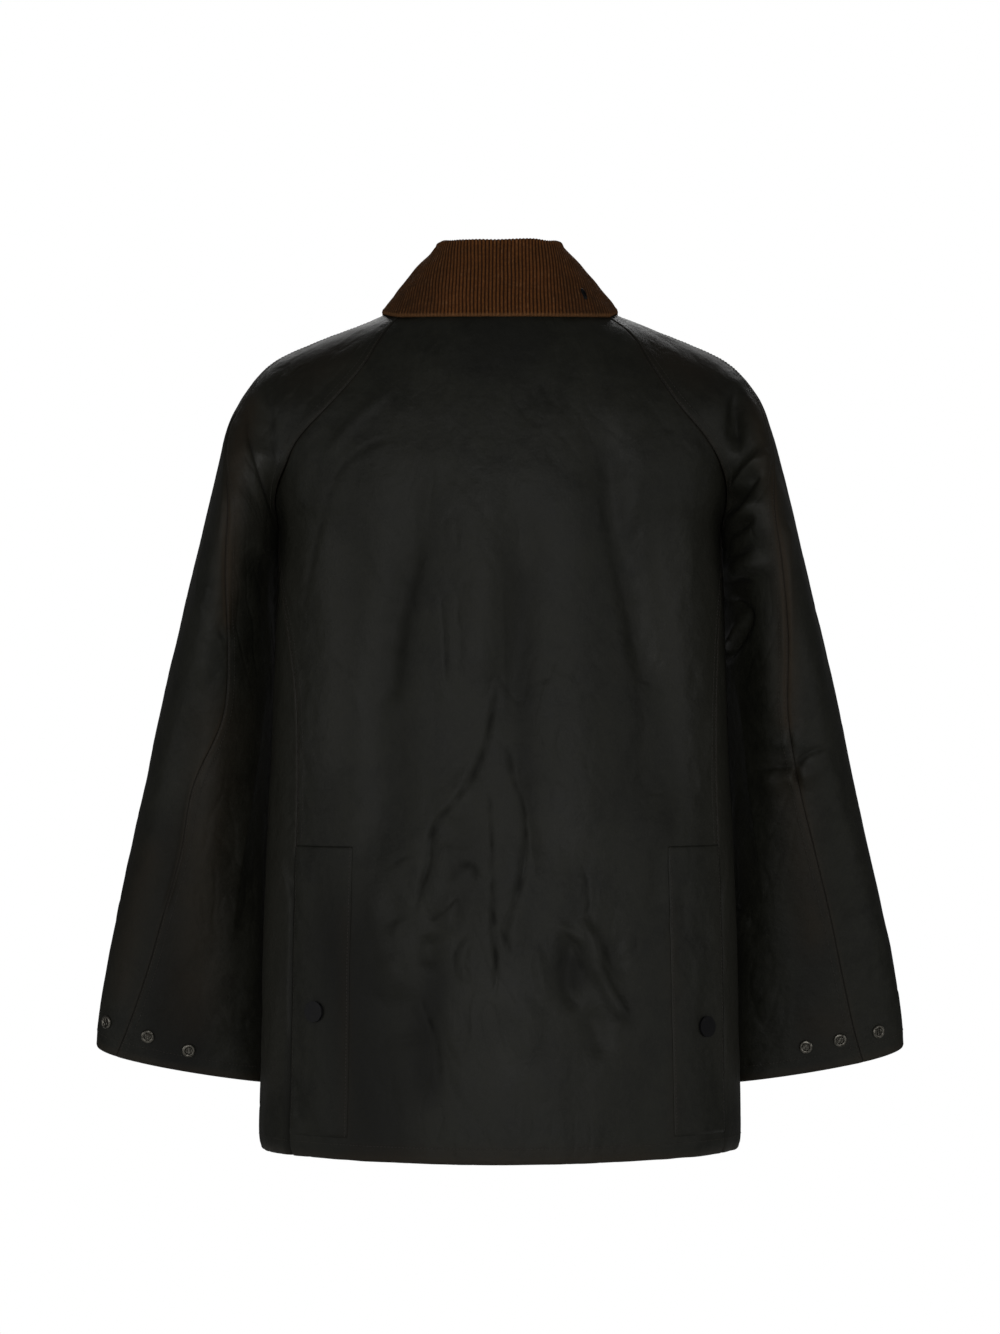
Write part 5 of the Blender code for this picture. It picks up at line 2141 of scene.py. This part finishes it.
@dataclass
class Collar:
    """The folded corduroy collar, with its ribs in the mesh."""

    wardrobe: Wardrobe
    rib_height: float = 1.05
    columns_to_a_wale: int = 6
    panel: Panel = field(init=False)

    def __post_init__(self) -> None:
        """Lays out the strip with its columns along the wales."""
        stand, arch = np.linspace(0, STAND_END, 11), np.linspace(STAND_END, FALL_START, 14)
        drops = np.concatenate([stand, arch[1:], np.linspace(FALL_START, FALL_END, 29)[1:]])
        drops = drops[: len(drops) - (len(drops) - 1) % THINNING]
        drops[-1] = FALL_END
        fine = np.linspace(0, 1, 241)
        length = lengths(CollarForm.point(*np.meshgrid(fine, drops)), 1)
        longest = length[:, -1].max()
        count = 2 * round(longest / WALE) * self.columns_to_a_wale
        count -= count % THINNING
        s = np.linspace(-1, 1, count + 1)
        turns = np.zeros((len(drops), len(s)))
        for turn, row in zip(turns, length):
            reach = np.abs(s) * longest - (longest - row[-1]) * np.abs(s) ** 2.2
            turn[:] = np.interp(reach, row, fine) * np.sign(s)
        form = CollarForm.point(turns, drops[:, None])
        self.panel = Panel("collar", drops, s, form, 1, thickness=CORDUROY, held=Held.FOLDED)
        self.along = np.broadcast_to(s * longest, self.panel.lift.shape)
        self._raise_ribs()

    def _raise_ribs(self) -> None:
        """Raises the wales, wears them unevenly and flattens them at the turned edges."""
        panel = self.panel
        u, v = self.along, panel.down
        phase = u / WALE + 0.16 * gradient_noise(u / 26, v / 30, 81)
        self.rib = np.abs(np.sin(np.pi * phase)) ** 0.7
        ends = np.minimum(panel.from_first, panel.from_last)
        self.edge = np.minimum(ends, panel.from_hem)
        worn = 0.75 + 0.3 * gradient_noise(u / 12, v / 14, 82)
        height = self.rib_height * worn * (0.45 + 0.55 * smooth(self.edge / 3))
        stitched = np.exp(-(((panel.from_hem - 5.4) / 0.9) ** 2))
        panel.lift += height * (self.rib - 0.72)
        panel.lift -= 0.3 * stitched + 0.5 * np.exp(-((self.edge / 1.0) ** 2))
        panel.lift += 0.8 * gradient_noise(u / 24, v / 18, 83) * smooth(self.edge / 12)
        panel.lift += 0.35 * np.exp(-(((self.edge - 3.4) / 2.2) ** 2))

    def build(self) -> None:
        """Makes the collar's object."""
        shell, edge = self.panel.shell(), np.minimum(self.edge, FAR)
        shell.grids = {"u": self.along, "v": self.panel.down, "rib": self.rib, "edge": edge}
        self.wardrobe.hang(self.panel, shell, Slot.CORDUROY)


# ---- studs


@dataclass
class StudMaker:
    """Studs shaped once at the origin, facing up, and copied to their places."""

    wardrobe: Wardrobe
    cap_radius: float = 7.4
    cap_side: float = 0.9
    cap_steps: tuple[Point, ...] = ((0.35, 0.35), (0.9, 0.45), (1.6, 0.42), (2.2, 0.3))
    ring_radius: float = 6.0
    ring_side: float = 0.7
    ring_steps: tuple[Point, ...] = ((0.35, 0.55), (0.9, 0.4), (0.9, 0.02), (0.55, -0.5), (0.5, -0.75))
    spring_radius: float = 0.42
    spring_length: float = 5.4
    spring_height: float = 1.35
    spring_off_centre: float = 1.15
    smooth_up_to: float = math.radians(50)
    clearance: float = 0.15  # between a stud and the cloth

    def __post_init__(self) -> None:
        """Makes the two patterns."""
        self.cap = self._stepped("cap_pattern", self.cap_radius, self.cap_side, self.cap_steps)
        self.ring = self._stepped("ring_pattern", self.ring_radius, self.ring_side, self.ring_steps)
        self._add_springs()

    def _cylinder(
        self, vertices: int, radius: float, depth: float, place: tuple[float, ...], turn: float = 0.0
    ) -> Piece:
        """A cylinder with nothing else selected.

        Args:
            vertices: points round it.
            radius: its radius.
            depth: its height.
            place: its middle.
            turn: turn about X, in radians.

        Returns:
            The cylinder.
        """
        bpy.ops.object.select_all(action="DESELECT")
        bpy.ops.mesh.primitive_cylinder_add(
            vertices=vertices,
            radius=radius * MM,
            depth=depth * MM,
            location=[MM * c for c in place],
            rotation=(turn, 0, 0),
        )
        return bpy.context.object

    def _settle(self) -> None:
        """Puts the selected object's place into its mesh and smooths its sides."""
        bpy.ops.object.transform_apply(location=True, rotation=True, scale=True)
        bpy.ops.object.shade_smooth_by_angle(angle=self.smooth_up_to)

    def _stepped(
        self, name: str, radius: float, side: float, steps: tuple[Point, ...]
    ) -> Piece:
        """A round stud whose top is stepped inward.

        Args:
            name: the pattern's name.
            radius: outer radius.
            side: height of its side.
            steps: how far each inset goes in and up.

        Returns:
            The pattern.
        """
        stud = self._cylinder(40, radius, side, (0, 0, side / 2))
        stud.name = name
        for polygon in stud.data.polygons:
            polygon.select = polygon.normal.z > 0.9
        bpy.ops.object.mode_set(mode="EDIT")
        bpy.ops.mesh.select_mode(type="FACE")
        for inward, up in steps:
            bpy.ops.mesh.inset(thickness=inward * MM, depth=up * MM)
        bpy.ops.object.mode_set(mode="OBJECT")
        self._settle()
        return stud

    def _add_springs(self) -> None:
        """Joins two spring bars to the ring, across its hollow."""
        parts = [self.ring]
        for x in (-self.spring_off_centre, self.spring_off_centre):
            place = (x, 0, self.spring_height)
            bar = self._cylinder(12, self.spring_radius, self.spring_length, place, math.pi / 2)
            self._settle()
            parts.append(bar)
        bpy.ops.object.select_all(action="DESELECT")
        for part in parts:
            part.select_set(True)
        bpy.context.view_layer.objects.active = self.ring
        bpy.ops.object.join()

    def place(
        self, pattern: Piece, node: str, slot: Slot, spot: Surface, turn: float = 0.0, across: float = 1.0
    ) -> None:
        """Copies a pattern on to the cloth.

        Args:
            pattern: the cap or the ring.
            node: the CAD node that the stud stands for.
            slot: its material slot.
            spot: its point and unit normal.
            turn: turn about the normal, in degrees.
            across: its width as a share of its height.
        """
        point, normal = (Vector(v) for v in spot)
        mesh = pattern.data.copy()
        mesh.name = f"{node}_metal"
        facing = normal.to_track_quat("Z", "Y").to_matrix().to_4x4()
        spin = Matrix.Rotation(math.radians(turn), 4, "Z")
        flatten = Matrix.Scale(across, 4, (1, 0, 0))
        middle = Matrix.Translation((point + normal * self.clearance) * MM)
        mesh.transform(middle @ facing @ spin @ flatten)
        stud = bpy.data.objects.new(mesh.name, mesh)
        bpy.context.scene.collection.objects.link(stud)
        self.wardrobe.join(stud, slot, node)

    def clear(self) -> None:
        """Removes the patterns."""
        for pattern in (self.cap, self.ring):
            bpy.data.objects.remove(pattern, do_unlink=True)


# ---- the studio


@dataclass(frozen=True)
class Softbox:
    """A soft lamp: where it stands, its size and power, and what it looks at, in metres."""

    name: str
    stands: tuple[float, float, float]
    size: Point
    power: float
    aim: tuple[float, float, float] = (0.0, 0.0, -0.36)

    def build(self) -> None:
        """Makes the lamp."""
        data = bpy.data.lights.new(self.name, "AREA")
        data.shape = "RECTANGLE"
        data.size, data.size_y = self.size
        data.energy = self.power
        lamp = bpy.data.objects.new(self.name, data)
        lamp.location = self.stands
        way = Vector(self.aim) - Vector(self.stands)
        lamp.rotation_euler = way.to_track_quat("-Z", "Y").to_euler()
        lamp.visible_camera = False
        bpy.context.scene.collection.objects.link(lamp)


LAMPS = (
    Softbox("key", (0.1, 4.3, -0.30), (2.8, 1.9), 52),
    Softbox("before", (-0.1, -3.7, 2.0), (2.8, 1.4), 64),
    Softbox("above", (0.0, 0.0, 3.0), (2.4, 2.4), 2),
    Softbox("left", (3.6, 2.2, -0.2), (1.8, 2.0), 20),
    Softbox("right", (-3.6, 2.2, -0.2), (1.8, 2.0), 20),
)


@dataclass(frozen=True)
class Studio:
    """White room, pale floor, soft light and the camera, in metres."""

    camera_away: float = 4.5
    eye_level: float = -0.3332
    lens: float = 139.58
    sensor: float = 36.0
    floor_level: float = -1.5
    floor_radius: float = 2.5
    floor_colour: Colour = (0.86, 0.86, 0.85)
    light_on_cloth: float = 0.07  # of the white room's

    def build(self) -> None:
        """Makes everything that isn't the jacket."""
        for lamp in LAMPS:
            lamp.build()
        self._world()
        self._floor()
        self._camera()
        bpy.context.scene.view_settings.view_transform = "Standard"

    def _world(self) -> None:
        """White to the eye, dim to the cloth."""
        world = bpy.data.worlds.new("studio")
        bpy.context.scene.world = world
        world.use_nodes = True
        tree = world.node_tree
        path = tree.nodes.new("ShaderNodeLightPath")
        seen = tree.nodes["Background"]
        seen.inputs["Color"].default_value = (1, 1, 1, 1)
        strength = tree.nodes.new("ShaderNodeMapRange")
        strength.inputs["To Min"].default_value = self.light_on_cloth
        strength.inputs["To Max"].default_value = 1.0
        tree.links.new(path.outputs["Is Camera Ray"], strength.inputs["Value"])
        tree.links.new(strength.outputs["Result"], seen.inputs["Strength"])

    def _floor(self) -> None:
        """A pale disc well below the jacket."""
        bpy.ops.object.select_all(action="DESELECT")
        bpy.ops.mesh.primitive_circle_add(
            vertices=96, radius=self.floor_radius, fill_type="NGON", location=(0, 0, self.floor_level)
        )
        disc = bpy.context.object
        disc.name = "floor"
        bpy.ops.object.transform_apply(location=True, rotation=True, scale=True)
        plain = {"Roughness": 0.9, "Base Color": (*self.floor_colour, 1)}
        disc.data.materials.append(Shader("floor", plain).material)

    def _camera(self) -> None:
        """Straight behind the jacket, level with its middle, with a long lens."""
        data = bpy.data.cameras.new("camera")
        data.lens = self.lens
        data.sensor_width = self.sensor
        camera = bpy.data.objects.new("camera", data)
        camera.location = (0, self.camera_away, self.eye_level)
        camera.rotation_euler = (math.radians(90), 0, math.radians(180))
        bpy.context.scene.collection.objects.link(camera)
        bpy.context.scene.camera = camera


# ---- putting it together


class Jacket:
    """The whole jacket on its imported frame."""

    def __init__(self) -> None:
        """Makes the finishes and lays out every cloth piece with its folds and seams."""
        self.wardrobe = Wardrobe()
        self.torso = Torso(self.wardrobe)
        self.sleeves = {side: Sleeve(self.wardrobe, side) for side in SIDES}
        self.vents = {side: Strip.vent_placket(self.wardrobe, self.torso, side) for side in SIDES}
        self.fly, self.collar = Strip.fly(self.wardrobe), Collar(self.wardrobe)

    @property
    def strips(self) -> tuple[Strip, ...]:
        """Both vent plackets and the fly."""
        return *self.vents.values(), self.fly

    def build(self) -> None:
        """Makes all the pieces' objects."""
        for part in (self.torso, *self.sleeves.values(), *self.strips, self.collar):
            part.build()
        self.wardrobe.join(self._sewing().build(), Slot.THREAD)
        self._place_studs()

    def _sewing(self) -> Sewing:
        """All the visible rows of stitches on the waxed cloth.

        Returns:
            The stitches, not yet made.
        """
        sewing = Sewing("cloth_stitches")
        back = self.torso.back
        below = (back.rows > UNDERARM) & (back.rows < PLACKET_TOP)
        for away in SEAM_STITCHING:
            for last in (False, True):
                sewing.along(back.line_down(away, last), below)
            for sleeve in self.sleeves.values():
                behind, before = sleeve.halves[BACK], sleeve.halves[FRONT]
                sewing.along(behind.line_down(away, True))
                for panel, last in ((behind, False), (before, True)):
                    sewing.along(panel.line_down(away, last), panel.rows < UNDERARM)
        halves = [panel for sleeve in self.sleeves.values() for panel in sleeve.halves.values()]
        for panel in (*self.torso.panels, *halves):
            sewing.along(panel.line_across(HEM_STITCHING))
        for strip in self.strips:
            for last in (False, True):
                sewing.along(strip.panel.line_down(STRIP_STITCHING, last))
        return sewing

    def _place_studs(self) -> None:
        """Puts every stud on its own piece of cloth."""
        maker = StudMaker(self.wardrobe)
        for side, sleeve in self.sleeves.items():
            for number, place in enumerate(CUFF_STUDS[side], 1):
                node = f"cuff_stud_{SIDES[side]}_{number}"
                spot = sleeve.turned(place.row, place.share)
                maker.place(maker.ring, node, Slot.BRIGHT_METAL, spot, place.turn)
        for side, vent in self.vents.items():
            place = VENT_STUDS[side]
            spot = vent.panel.seat(place.row, place.share)
            maker.place(maker.cap, f"vent_stud_{SIDES[side]}", Slot.DARK_METAL, spot)
        for number, row in enumerate(FLY_STUD_ROWS, 1):
            spot = self.fly.panel.seat(row, 0.5)
            maker.place(maker.cap, f"fly_stud_{number}", Slot.DARK_METAL, spot)
        spot = CollarForm.surface(COLLAR_STUD.share, COLLAR_STUD.row)
        maker.place(maker.ring, "collar_stud", Slot.DARK_METAL, spot, across=COLLAR_STUD_WIDTH)
        maker.clear()


def main() -> None:
    """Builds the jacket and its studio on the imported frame."""
    logging.basicConfig(level=logging.INFO, format="%(message)s")
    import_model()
    Jacket().build()
    Studio().build()


if __name__ == "__main__":
    main()
